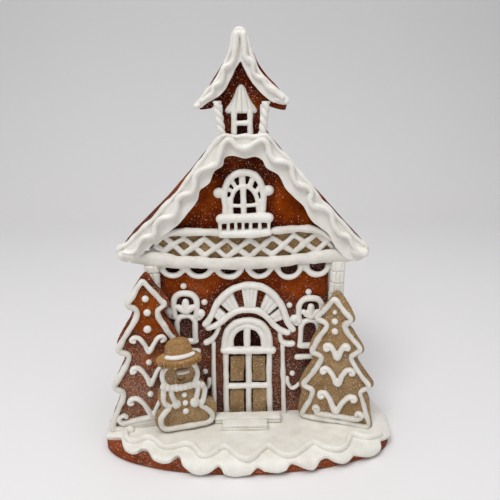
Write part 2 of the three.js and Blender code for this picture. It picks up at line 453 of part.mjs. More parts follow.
// The closed ring between an outline pushed out and pulled in by half the line's width.
function ring(path, width) {
  const n = path.length, out = [], inn = [];
  path.forEach((p, i) => {
    const a = path[(i + n - 1) % n], b = path[(i + 1) % n];
    const l = Math.hypot(b[0] - a[0], b[1] - a[1]), nx = (b[1] - a[1]) / l, nz = -(b[0] - a[0]) / l;
    out.push([p[0] + nx * width / 2, p[1] + nz * width / 2]);
    inn.push([p[0] - nx * width / 2, p[1] - nz * width / 2]);
  });
  return [out, inn.reverse()];
}
function place(x, y, z, turn, lean) {
  const g = new THREE.Group();
  g.position.set(x, y, z);
  g.rotation.set(-lean * DEG, 0, -turn * DEG, 'ZXY');
  house.add(g);
  return g;
}
const SWAG_RISE = [8.6, 10.4, 11];
for (const t of [
  { name: 'tree_left', look: BROWN, at: [-71, -28, -13, 0.6], apex: [2.9, 106.6], foot: [-23.7, 30.4],
    right: [[16.4, 87.4], [9.4, 84.6], [23.6, 59.6], [15.4, 56.4], [28, 31], [21.6, 28]],
    left: [[-10, 89.6], [-2.6, 86.8], [-16.8, 59.4], [-8.8, 56], [-20.8, 32], [-14.8, 28.6]],
    swags: [[-5.4, 64.6, 3.4], [-7.6, 42, 3.2], [-10.6, 18, 3.1]] },
  { name: 'tree_right', look: TAN, at: [57.8, -28.3, 19.5, 0.4], apex: [-4.6, 91], foot: [-22.8, 23.6],
    right: [[6.9, 76.8], [2.8, 73.4], [15.5, 56.4], [9, 51.6], [22.6, 31], [16.6, 26.8]],
    left: [[-15.8, 75], [-8.6, 72], [-18.8, 50.6], [-10.9, 48.4], [-23.9, 25], [-16.6, 22.8]],
    swags: [[-6.9, 56.4, -0.6], [-9.6, 36.6, 0.9], [-10.6, 18, 0.9]] },
]) {
  const g = place(t.at[0], t.at[1], TREE.foot, t.at[2], t.at[3]), face = 0.2;
  piece(t.name, upright(rounded(treeOutline(t.apex, t.right, t.left, t.foot, 2.6), 3.2), face + TREE.thick, face), t.look, g);
  const [out, inn] = ring(rounded(treeOutline(t.apex, t.right, t.left, t.foot, -0.9).map(([u, v]) => [u, Math.max(v, 2.2)]), 4.6), TREE.line);
  piece(t.name + '_outline', upright(out, face - GAP, face - GAP - TREE.icing, [inn]), ICING, g);
  t.swags.forEach(([u, v, mid, half], i) => {
    const low = v - SWAG_RISE[i], w = mid - u;
    const side = (s) => through([[mid, low], [mid + s * w * 0.4, lerp(low, v, 0.55)], [mid + s * (w - 1.6), v + 2.8],
      [mid + s * (w + 1.4), v + 1.6], [mid + s * (w + 1.5), v - 1.8], [mid + s * (w - 0.9), v - 2.3]], 8);
    piece(`${t.name}_swag_${i + 1}`, join(
      upright(line([...side(-1).reverse(), ...side(1).slice(1)], 3, 2), face - GAP, face - GAP - 2)), ICING, g);
  });
}

// ---------------------------------------------------------------- snowman biscuit
{
  const g = place(-43, -32, TREE.foot + 0.2, -18.6, 2), face = 0.2, back = face + TREE.thick;
  const base = upright(rect(-40, -20, 40, 0), 20, -20);
  const body = cut(join(
    upright(ellipse(-0.6, 8, 20, 11.6, 18), back, face), upright(ellipse(-2.4, 24.4, 17.6, 13, 18), back, face),
    upright(ellipse(-3.8, 42, 13.2, 13, 14), back, face)), base);
  piece('snowman', body, TAN, g);
  const y0 = face - GAP, y1 = y0 - 2.4;
  const lines = [
    line(through([[-12.4, 47.4], [-15.8, 42.4], [-13.6, 35.6], [-10.6, 32.2], [-3.3, 31.2], [4, 31.6], [7.4, 35.4], [8.4, 40], [6.4, 46]], 13), 3, 2),
    line(through([[-9.8, 31.4], [-14.8, 31.8], [-15.8, 25.6], [-12.6, 17.4], [-17, 12.4], [-18.4, 6], [-17.4, 2], [-8, 1.8], [0, 1.6], [9, 1.8], [16.6, 2.2], [17.2, 7.4], [14.4, 12], [10.6, 15.8], [12.7, 23], [10.9, 31], [5, 31.6]], 28), 3, 2),
    line(through([[-10.9, 30.4], [-10.4, 25.5], [-8.7, 20.9], [-6.9, 18.9]], 6), 2.8),
    line(through([[7.8, 30.4], [7.2, 25], [6.2, 20], [5.7, 17.1]], 6), 2.8)];
  piece('snowman_outline', join(...lines.map((l) => upright(l, y0, y1)), knob(-6.9, 18.6, 2.6, y0, y1), knob(5.7, 17, 2.7, y0, y1)), ICING, g);

  // Straw hat: a lathe-turned crown and brim, flattened, kept in front of the biscuit's back.
  const v = (r, z) => new THREE.Vector2(r, z), cx = -3.9, z0 = 49.4;
  const turned = new THREE.LatheGeometry([v(0, 0), v(14.4, 0), v(15.7, 1.6), v(15, 3), v(9, 4.4), v(8.8, 9), v(7.6, 13.4), v(4.6, 16), v(0, 16.8)], 12)
    .rotateX(Math.PI / 2).scale(1, 0.42, 1).translate(cx, 0.2, z0);
  const head = upright(ellipse(-3.8, 42, 13.5, 13.3, 14), back + GAP, face - GAP);
  piece('snowman_hat', geometry(solid(turned).subtract(solid(head)).intersect(solid(block(-40, 40, -20, back + 0.2, 45, 80)))), STRAW, g);
  piece('snowman_hat_band', upright(bar(cx - 8.8, cx + 9, 53.6, 56.6, 3), -4.2, -5.4), ICING, g);
}

// ---------------------------------------------------------------- steeple
// Outer line of the steeple roof: steep at the peak, flaring out to the eaves. r is the distance from the middle.
const flare = (r, peak, foot, reach) => {
  const t = Math.min(r / reach, 1);
  return lerp(peak, foot, 1 - (1 - t) ** 1.32);
};
{
  const s = STEEPLE, reach = 24.6, thick = 4.4, n = 10, outer = [], inner = [], body = [];
  for (let i = -n; i <= n; i++) {
    const r = (Math.abs(i) / n) * reach, x = s.x + Math.sign(i) * r;
    outer.push([x, flare(r, 256, 222.4, reach + 1)]);
    const k = r * (1 - 2.6 / reach);
    inner.push([s.x + Math.sign(i) * k, Math.max(flare(k, 256 - thick * 1.9, 222.4 - thick * 0.1, reach), 219.4)]);
  }
  piece('steeple_roof', upright([...outer, ...inner.reverse()].reverse(), s.roofBack, s.roofFront), BROWN);
  for (let i = -4; i <= 4; i++) {
    const r = (Math.abs(i) / 4) * s.half, x = s.x + Math.sign(i) * r;
    body.push([x, flare(r, 256 - thick * 1.9, 222.4 - thick * 0.1, reach) - 1.1]);
  }
  const shell = upright([[s.x - s.half, s.foot], [s.x + s.half, s.foot], ...body.reverse()], s.back, s.front);
  const recess = upright(rect(s.x - 5.2, s.foot + 1, s.x + 4.6, 219), s.front + 3, s.front - 3);
  // The gable spreads out under the roof on both sides.
  const wide = [];
  for (let i = -6; i <= 6; i++) {
    const r = (Math.abs(i) / 6) * 18.4, x = s.x + Math.sign(i) * r;
    wide.push([x, Math.max(223.6, flare(r, 256 - thick * 1.9, 222.4 - thick * 0.1, reach) - 1.1)]);
  }
  piece('steeple_body', cut(join(shell, upright([[s.x - 18.4, 222.4], [s.x + 18.4, 222.4], ...wide.reverse()], s.back, s.front)), recess), BROWN);

  // White band over the front edge, rising to a rounded finial.
  const band = [], m = 10;
  for (let i = -m; i <= m; i++) {
    const r = (Math.abs(i) / m) * 26.6, x = s.x + Math.sign(i) * r;
    band.push([x, r < 5 ? 265.3 - r * r * 0.24 : Math.min(259.3, flare(r, 263.5, 223.2, 27.2) + 0.5 * Math.sin(r * 0.9))]);
  }
  const inset = [];
  for (let i = -8; i <= 8; i++) {
    const r = (Math.abs(i) / 8) * 17.4, x = s.x + Math.sign(i) * r;
    inset.push([x, flare(r, 247.2, 224.6, 19)]);
  }
  const outline = [...band, [s.x + 26.4, 221.6], [s.x + 23, 221.8], ...inset.reverse(), [s.x - 23, 221.8], [s.x - 26.4, 221.6]];
  const rope = [];
  for (let i = -14; i <= 14; i++) {
    const r = (Math.abs(i) / 14) * 23.4, x = s.x + Math.sign(i) * r;
    rope.push([x, flare(r, 257.6, 225.4, 24) + 1.7 * Math.cos(r * 0.86)]);
  }
  piece('steeple_trim', join(upright(outline.reverse(), s.roofFront, -22.4), upright(line(rope, 3.2), -22, -24.6)), ICING);

  // Twisted posts: a three-lobed section turned as it rises.
  for (const [name, x0, x1] of [['steeple_post_left', -17.7, -19.2], ['steeple_post_right', 7, 7.8]]) {
    const z0 = TRIM.topZ + 0.2, z1 = 223.6, h = z1 - z0, sides = 9, steps = 7;
    const section = Array.from({ length: sides }, (_, i) => {
      const a = (i / sides) * 2 * Math.PI, r = 2.15 + 0.38 * Math.cos(3 * a);
      return [r * Math.cos(a), r * Math.sin(a)];
    });
    const g = new THREE.ExtrudeGeometry(shape(section), { depth: h, steps, bevelEnabled: false });
    const p = g.attributes.position;
    for (let i = 0; i < p.count; i++) {
      const t = p.getZ(i) / h, a = t * 4.2, x = p.getX(i), y = p.getY(i);
      p.setXYZ(i, x * Math.cos(a) - y * Math.sin(a) + lerp(x0, x1, t), x * Math.sin(a) + y * Math.cos(a) - 20.3, z0 + t * h);
    }
    g.computeVertexNormals();
    piece(name, g, ICING);
  }
  piece('steeple_window', join(
    upright(rect(-11.9, s.foot + 0.4, -8.2, 218), s.front, -17.6), upright(rect(-2.2, s.foot + 0.4, 1.6, 218), s.front, -17.6),
    upright(rect(-9, 210, -1.6, 213.3), s.front, -17.4)), ICING);
  const hood = [[1, 235.4], [2.1, 233.9], [3.15, 231.4], [4.4, 228.3], [6.35, 225.3], [9.35, 221.2], [10.2, 219.6], [9.6, 218.4]].map(([r, z]) => [r - 5.9, z]);
  const left = hood.map(([x, z]) => [-11.8 - x, z]);
  piece('steeple_canopy', upright([...left, ...hood.reverse()], s.front, -18.6, [], 0.7), ICING);
}

house.position.y = MIDDLE;
export default house;
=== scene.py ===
import math

import bpy
import numpy as np
from mathutils import Matrix


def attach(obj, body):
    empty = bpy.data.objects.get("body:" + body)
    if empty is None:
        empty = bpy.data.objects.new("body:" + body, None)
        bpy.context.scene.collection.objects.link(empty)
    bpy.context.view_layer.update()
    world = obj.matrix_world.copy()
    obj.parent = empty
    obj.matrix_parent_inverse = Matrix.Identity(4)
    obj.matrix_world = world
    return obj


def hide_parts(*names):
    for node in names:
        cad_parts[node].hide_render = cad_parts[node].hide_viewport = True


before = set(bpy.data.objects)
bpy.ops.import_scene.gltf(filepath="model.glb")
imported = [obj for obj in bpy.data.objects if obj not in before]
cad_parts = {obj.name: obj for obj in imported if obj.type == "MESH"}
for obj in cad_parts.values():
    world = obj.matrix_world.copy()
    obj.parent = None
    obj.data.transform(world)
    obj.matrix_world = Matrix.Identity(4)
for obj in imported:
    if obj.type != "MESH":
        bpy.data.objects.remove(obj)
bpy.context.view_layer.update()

scene = bpy.context.scene

# Lengths below are millimetres. Y counts from a line MIDDLE in front of the frame's origin line, as in the CAD source.
MIDDLE = 17.5
WALL = 12.5          # how far the gable wall's face stands in front of that line
RNG = np.random.default_rng(11)
WAVES = RNG.normal(size=(28, 3))
PHASES = RNG.uniform(0, 2 * math.pi, 28)


def field(p, size):
    """A smooth bumpy field of about unit height, with features of the given size."""
    return np.sin(np.asarray(p) / size * 1.0 @ WAVES.T + PHASES).sum(1) / math.sqrt(14)


# ------------------------------------------------------------------ places
def wall(p):
    """From (across, up, out) on the gable's plane to (x, y, z)."""
    p = np.asarray(p, float)
    return np.stack([p[:, 0], -p[:, 2], p[:, 1]], 1)


def standing(x, y, z, turn, lean):
    """The plane of a biscuit that stands at (x, y, z), turned about the vertical and leaning back."""
    a = np.array(Matrix.Rotation(math.radians(-turn), 4, "Z") @ Matrix.Rotation(math.radians(-lean), 4, "X"))[:3, :3]
    return lambda p: wall(p) @ a.T + np.array([x, y, z])


def lying(p):
    """From (x, y, up) to (x, y, z)."""
    return np.asarray(p, float)


# ------------------------------------------------------------------ paths
def curve(points, step=0.9, closed=False):
    """A smooth curve through the points, evenly stepped."""
    P = np.asarray(points, float)
    n = len(P)
    if n == 2 and not closed:
        dense = np.linspace(P[0], P[1], 40)
    else:
        out = []
        for i in range(n if closed else n - 1):
            p1, p2 = P[i], P[(i + 1) % n]
            p0 = P[i - 1] if closed or i else 2 * p1 - p2
            p3 = P[(i + 2) % n] if closed or i < n - 2 else 2 * p2 - p1
            t1 = np.linalg.norm(p1 - p0) ** 0.5 + 1e-6
            t2 = t1 + np.linalg.norm(p2 - p1) ** 0.5 + 1e-6
            t3 = t2 + np.linalg.norm(p3 - p2) ** 0.5 + 1e-6
            t = np.linspace(t1, t2, 24, endpoint=False)[:, None]
            a1 = (t1 - t) / t1 * p0 + t / t1 * p1
            a2 = (t2 - t) / (t2 - t1) * p1 + (t - t1) / (t2 - t1) * p2
            a3 = (t3 - t) / (t3 - t2) * p2 + (t - t2) / (t3 - t2) * p3
            b1 = (t2 - t) / t2 * a1 + t / t2 * a2
            b2 = (t3 - t) / (t3 - t1) * a2 + (t - t1) / (t3 - t1) * a3
            out.append((t2 - t) / (t2 - t1) * b1 + (t - t1) / (t2 - t1) * b2)
        dense = np.concatenate(out)
        dense = np.vstack([dense, P[:1] if closed else P[-1:]])
    d = np.concatenate([[0], np.cumsum(np.linalg.norm(np.diff(dense, axis=0), axis=1))])
    m = max(int(round(d[-1] / step)), 3)
    s = np.linspace(0, d[-1], m + 1)
    res = np.stack([np.interp(s, d, dense[:, k]) for k in range(dense.shape[1])], 1)
    return res[:-1] if closed else res


def arc(cx, cz, rx, rz, a0, a1, n=16):
    a = np.radians(np.linspace(a0, a1, n + 1))
    return np.stack([cx + rx * np.cos(a), cz + rz * np.sin(a)], 1)


def along(values, n):
    """A number, or a list of numbers spread over the length, as n numbers."""
    v = np.atleast_1d(np.asarray(values, float))
    return np.interp(np.linspace(0, 1, n), np.linspace(0, 1, len(v)), v) if len(v) > 1 else np.full(n, v[0])


# ------------------------------------------------------------------ lumps
class Clay:
    """Closed lumps of dough or icing, gathered into one piece. What is added plain isn't melted into the rest."""

    def __init__(self):
        self.soft = [[], [], 0]
        self.hard = [[], [], 0]
        self.turn = 0

    def add(self, verts, faces, plain=False):
        g = self.hard if plain else self.soft
        g[0].append(np.asarray(verts, float))
        g[1] += [tuple(int(i) + g[2] for i in f) for f in faces]
        g[2] += len(verts)
        return self

    def stroke(self, points, width, top, high=None, put=wall, closed=False, sides=14, wobble=0.035, step=0.9, smooth=True, plain=False):
        """A piped line: an oval section swept along a path, round at both ends. top is how far it stands out."""
        path = curve(points, step, closed) if smooth else np.asarray(points, float)
        n = len(path)
        w = along(width, n)
        if closed:
            w[-1] = w[0]
        self.turn += 1
        s = np.arange(n) * step
        a = w / 2 * (1 + wobble * np.sin(s / 3.7 + 1.9 * self.turn) + 0.6 * wobble * np.sin(s / 1.63 + self.turn))
        b = (along(high, n) if high is not None else w * 1.0) / 2
        t_out = along(top, n) + 0.12 * np.sin(s / 5.1 + self.turn * 2.3)
        if closed:
            nxt, prv = np.roll(path, -1, 0), np.roll(path, 1, 0)
        else:
            nxt, prv = np.vstack([path[1:], path[-1:]]), np.vstack([path[:1], path[:-1]])
        t = nxt - prv
        t /= np.linalg.norm(t, axis=1)[:, None] + 1e-9
        side = np.stack([-t[:, 1], t[:, 0]], 1)
        th = np.linspace(0, 2 * math.pi, sides, endpoint=False)
        rings, poles = [], []

        def ring(i, scale, shift):
            c = path[i] + t[i] * shift
            uv = c + side[i] * (a[i] * scale * np.cos(th))[:, None]
            return np.column_stack([uv, t_out[i] - b[i] + b[i] * scale * np.sin(th)])

        caps = (75, 55, 30)
        if closed:
            rings = [ring(i, 1, 0) for i in range(n)]
        else:
            rings += [ring(0, math.cos(math.radians(c)), -a[0] * math.sin(math.radians(c))) for c in caps]
            rings += [ring(i, 1, 0) for i in range(n)]
            rings += [ring(n - 1, math.cos(math.radians(c)), a[-1] * math.sin(math.radians(c))) for c in caps[::-1]]
        m = len(rings)
        verts = np.concatenate(rings)
        faces = []
        for i in range(m if closed else m - 1):
            j = (i + 1) % m
            for k in range(sides):
                l = (k + 1) % sides
                faces.append((i * sides + k, j * sides + k, j * sides + l, i * sides + l))
        if not closed:
            p0 = np.array([*(path[0] - t[0] * a[0]), t_out[0] - b[0]])
            p1 = np.array([*(path[-1] + t[-1] * a[-1]), t_out[-1] - b[-1]])
            verts = np.vstack([verts, p0, p1])
            c0, c1 = m * sides, m * sides + 1
            for k in range(sides):
                l = (k + 1) % sides
                faces.append((c0, k, l))
                faces.append((c1, (m - 1) * sides + l, (m - 1) * sides + k))
        return self.add(put(verts), faces, plain)

    def slab(self, outline, low, top, put=wall, plain=False):
        """A flat piece with the given outline, between two heights over the plane."""
        o = np.asarray(outline, float)
        area = np.sum(o[:, 0] * np.roll(o[:, 1], -1) - np.roll(o[:, 0], -1) * o[:, 1])
        if area < 0:
            o = o[::-1]
        n = len(o)
        low, top = np.broadcast_to(low, n), np.broadcast_to(top, n)
        verts = np.vstack([np.column_stack([o, low]), np.column_stack([o, top])])
        faces = [tuple(range(n))[::-1], tuple(range(n, 2 * n))]
        faces += [(i, (i + 1) % n, n + (i + 1) % n, n + i) for i in range(n)]
        return self.add(put(verts), faces, plain)

    def bead(self, u, v, r, top, high=None, put=wall, ry=None, plain=False, n=18, m=10):
        """A dropped bead: a flattened ball."""
        h = (high if high is not None else 1.7 * r) / 2
        ry = ry or r
        verts, faces = [], []
        for i in range(1, m):
            f = math.pi * i / m
            for k in range(n):
                a = 2 * math.pi * k / n
                verts.append((u + r * math.sin(f) * math.cos(a), v + ry * math.sin(f) * math.sin(a), top - h + h * math.cos(f)))
        verts += [(u, v, top), (u, v, top - 2 * h)]
        for i in range(m - 2):
            for k in range(n):
                l = (k + 1) % n
                faces.append((i * n + k, (i + 1) * n + k, (i + 1) * n + l, i * n + l))
        p, q = (m - 1) * n, (m - 1) * n + 1
        for k in range(n):
            l = (k + 1) % n
            faces.append((p, k, l))
            faces.append((q, (m - 2) * n + l, (m - 2) * n + k))
        return self.add(put(verts), faces, plain)

    def fluted(self, quad, grooves, low, top, depth=0.55, put=wall, round_=0.9, plain=True, rows=10):
        """A wedge with fine grooves along it. quad runs far-left, far-right, near-right, near-left."""
        a, b, c, d = [np.asarray(p, float) for p in quad]
        cols = 7 * (grooves + 1) + 1
        S = np.linspace(0, 1, cols)
        T = np.linspace(0, 1, rows + 1)
        wide = (np.linalg.norm(b - a) + np.linalg.norm(c - d)) / 2
        tall = (np.linalg.norm(d - a) + np.linalg.norm(c - b)) / 2
        verts = []
        for t in T:
            for s in S:
                p = (a * (1 - s) + b * s) * (1 - t) + (d * (1 - s) + c * s) * t
                k = s * (grooves + 1)
                near = abs(k - round(k)) if 0 < round(k) < grooves + 1 else 9
                g = depth * math.exp(-((near * wide / (grooves + 1)) / 0.33) ** 2)
                e = min(s, 1 - s) * wide
                f = min(t, 1 - t) * tall
                drop = round_ * (1 - math.sqrt(max(0, 1 - (1 - min(e / round_, 1)) ** 2)))
                drop += round_ * 0.6 * (1 - math.sqrt(max(0, 1 - (1 - min(f / round_, 1)) ** 2)))
                swell = 0.35 * math.sin(math.pi * s)
                verts.append((*p, top - g - drop + swell))
        n = len(verts)
        rim = [i for i in range(cols)] + [r * cols + cols - 1 for r in range(1, rows + 1)]
        rim += [rows * cols + c_ for c_ in range(cols - 2, -1, -1)] + [r * cols for r in range(rows - 1, 0, -1)]
        base = [(verts[i][0], verts[i][1], low) for i in rim]
        faces = []
        for r in range(rows):
            for k in range(cols - 1):
                faces.append((r * cols + k, (r + 1) * cols + k, (r + 1) * cols + k + 1, r * cols + k + 1))
        m = len(rim)
        for i in range(m):
            j = (i + 1) % m
            faces.append((rim[j], n + j, n + i, rim[i]))
        faces.append(tuple(range(n, n + m)))
        return self.add(put(verts + base), faces, plain)

    def lathe(self, profile, cx, cy, n=48, shape=None, plain=True):
        """A profile of (radius, z) turned about the vertical through (cx, cy). shape(angle, radius, z) gives the radius there."""
        verts, faces = [], []
        m = len(profile)
        for r, z in profile:
            for k in range(n):
                a = 2 * math.pi * k / n
                q = shape(a, r, z) if shape else r
                verts.append((cx + q * math.cos(a), cy + q * math.sin(a), z))
        for i in range(m - 1):
            for k in range(n):
                l = (k + 1) % n
                faces.append((i * n + k, i * n + l, (i + 1) * n + l, (i + 1) * n + k))
        faces.append(tuple(range(n))[::-1])
        faces.append(tuple(range((m - 1) * n, m * n)))
        return self.add(np.array(verts), faces, plain)


def mesh_of(name, group):
    verts = np.concatenate(group[0])
    me = bpy.data.meshes.new(name)
    me.from_pydata(((verts + [0, MIDDLE, 0]) / 1000).tolist(), [], group[1])
    me.validate()
    me.update()
    return me


def applied(obj):
    """The object's mesh with its modifiers in it."""
    bpy.context.view_layer.update()
    me = bpy.data.meshes.new_from_object(obj.evaluated_get(bpy.context.evaluated_depsgraph_get()))
    obj.modifiers.clear()
    old, obj.data = obj.data, me
    bpy.data.meshes.remove(old)
    return me


def coords(me):
    co = np.zeros(len(me.vertices) * 3, np.float32)
    me.vertices.foreach_get("co", co)
    return co.reshape(-1, 3).astype(float)


def normals(me):
    no = np.zeros(len(me.vertices) * 3, np.float32)
    me.vertices.foreach_get("normal", no)
    return no.reshape(-1, 3).astype(float)


def rough_up(me, layers):
    """Hand-made unevenness: moves the surface along its normals by smooth fields, each (height, size) in mm."""
    co, no = coords(me), normals(me)
    p = co * 1000
    move = sum(h * field(p + 31.7 * i, size) for i, (h, size) in enumerate(layers))
    co += no * (move / 1000)[:, None]
    me.vertices.foreach_set("co", co.astype(np.float32).ravel())
    me.update()


def piece(name, clay, material, replaces, voxel=0.5, smooth=5, uneven=((0.10, 4.0), (0.05, 1.6)), shape=None):
    """Melts the lumps into one skin, smooths it, and puts it in for CAD nodes."""
    parts = []
    if clay.soft[2]:
        obj = bpy.data.objects.new(name, mesh_of(name, clay.soft))
        scene.collection.objects.link(obj)
        mod = obj.modifiers.new("melt", "REMESH")
        mod.mode, mod.voxel_size, mod.use_smooth_shade = "VOXEL", voxel / 1000, True
        if smooth:
            mod = obj.modifiers.new("settle", "SMOOTH")
            mod.factor, mod.iterations = 0.5, smooth
        me = applied(obj)
        if uneven:
            rough_up(me, uneven)
        parts.append(obj)
    if clay.hard[2]:
        obj = bpy.data.objects.new(name + "_b", mesh_of(name + "_b", clay.hard))
        scene.collection.objects.link(obj)
        parts.append(obj)
    if len(parts) == 2:
        import bmesh
        bm = bmesh.new()
        bm.from_mesh(parts[0].data)
        bm.from_mesh(parts[1].data)
        bm.to_mesh(parts[0].data)
        bm.free()
        spare = parts[1].data
        bpy.data.objects.remove(parts[1])
        bpy.data.meshes.remove(spare)
    obj = parts[0]
    obj.name = name
    obj.data.name = name
    if shape:
        co = coords(obj.data) * 1000 - [0, MIDDLE, 0]
        co = (shape(co) + [0, MIDDLE, 0]) / 1000
        obj.data.vertices.foreach_set("co", co.astype(np.float32).ravel())
        obj.data.update()
    obj.data.materials.clear()
    obj.data.materials.append(material)
    obj.data.polygons.foreach_set("use_smooth", [True] * len(obj.data.polygons))
    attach(obj, "root")
    if replaces:
        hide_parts(*replaces)
    return obj


# ------------------------------------------------------------------ materials
def material(name):
    mat = bpy.data.materials.new(name)
    mat.use_nodes = True
    nt = mat.node_tree
    nt.nodes.clear()
    out = nt.nodes.new("ShaderNodeOutputMaterial")
    bsdf = nt.nodes.new("ShaderNodeBsdfPrincipled")
    nt.links.new(bsdf.outputs["BSDF"], out.inputs["Surface"])
    where = nt.nodes.new("ShaderNodeTexCoord").outputs["Object"]

    def node(kind, inputs=(), out_=0, **props):
        n = nt.nodes.new(kind)
        for k, v in props.items():
            setattr(n, k, v)
        for k, v in dict(inputs).items():
            if isinstance(v, bpy.types.NodeSocket):
                nt.links.new(v, n.inputs[k])
            else:
                n.inputs[k].default_value = v
        return n.outputs[out_]

    return mat, nt, bsdf, where, node


def srgb(r, g, b):
    f = lambda c: (c / 255) / 12.92 if c <= 10 else ((c / 255 + 0.055) / 1.055) ** 2.4
    return (f(r), f(g), f(b), 1.0)


def specks(node, where, cell, size, density, seed):
    """Scattered glitter: a mask of small flecks, and one random number for each."""
    place = node("ShaderNodeVectorMath", {0: where, 1: (seed, seed * 0.37, -seed * 0.61)}, operation="ADD")
    vor = node("ShaderNodeTexVoronoi", {"Vector": place, "Scale": 1000 / cell, "Randomness": 1.0}, feature="F1").node
    ramp = node("ShaderNodeMapRange", {"Value": vor.outputs["Distance"], "From Min": size, "From Max": size * 0.45, "To Min": 0.0, "To Max": 1.0})
    parts = node("ShaderNodeSeparateColor", {"Color": vor.outputs["Color"]}).node
    pick = node("ShaderNodeMath", {0: parts.outputs["Red"], 1: density}, operation="LESS_THAN")
    mask = node("ShaderNodeMath", {0: ramp, 1: pick}, operation="MULTIPLY")
    return mask, parts.outputs["Green"], parts.outputs["Blue"]


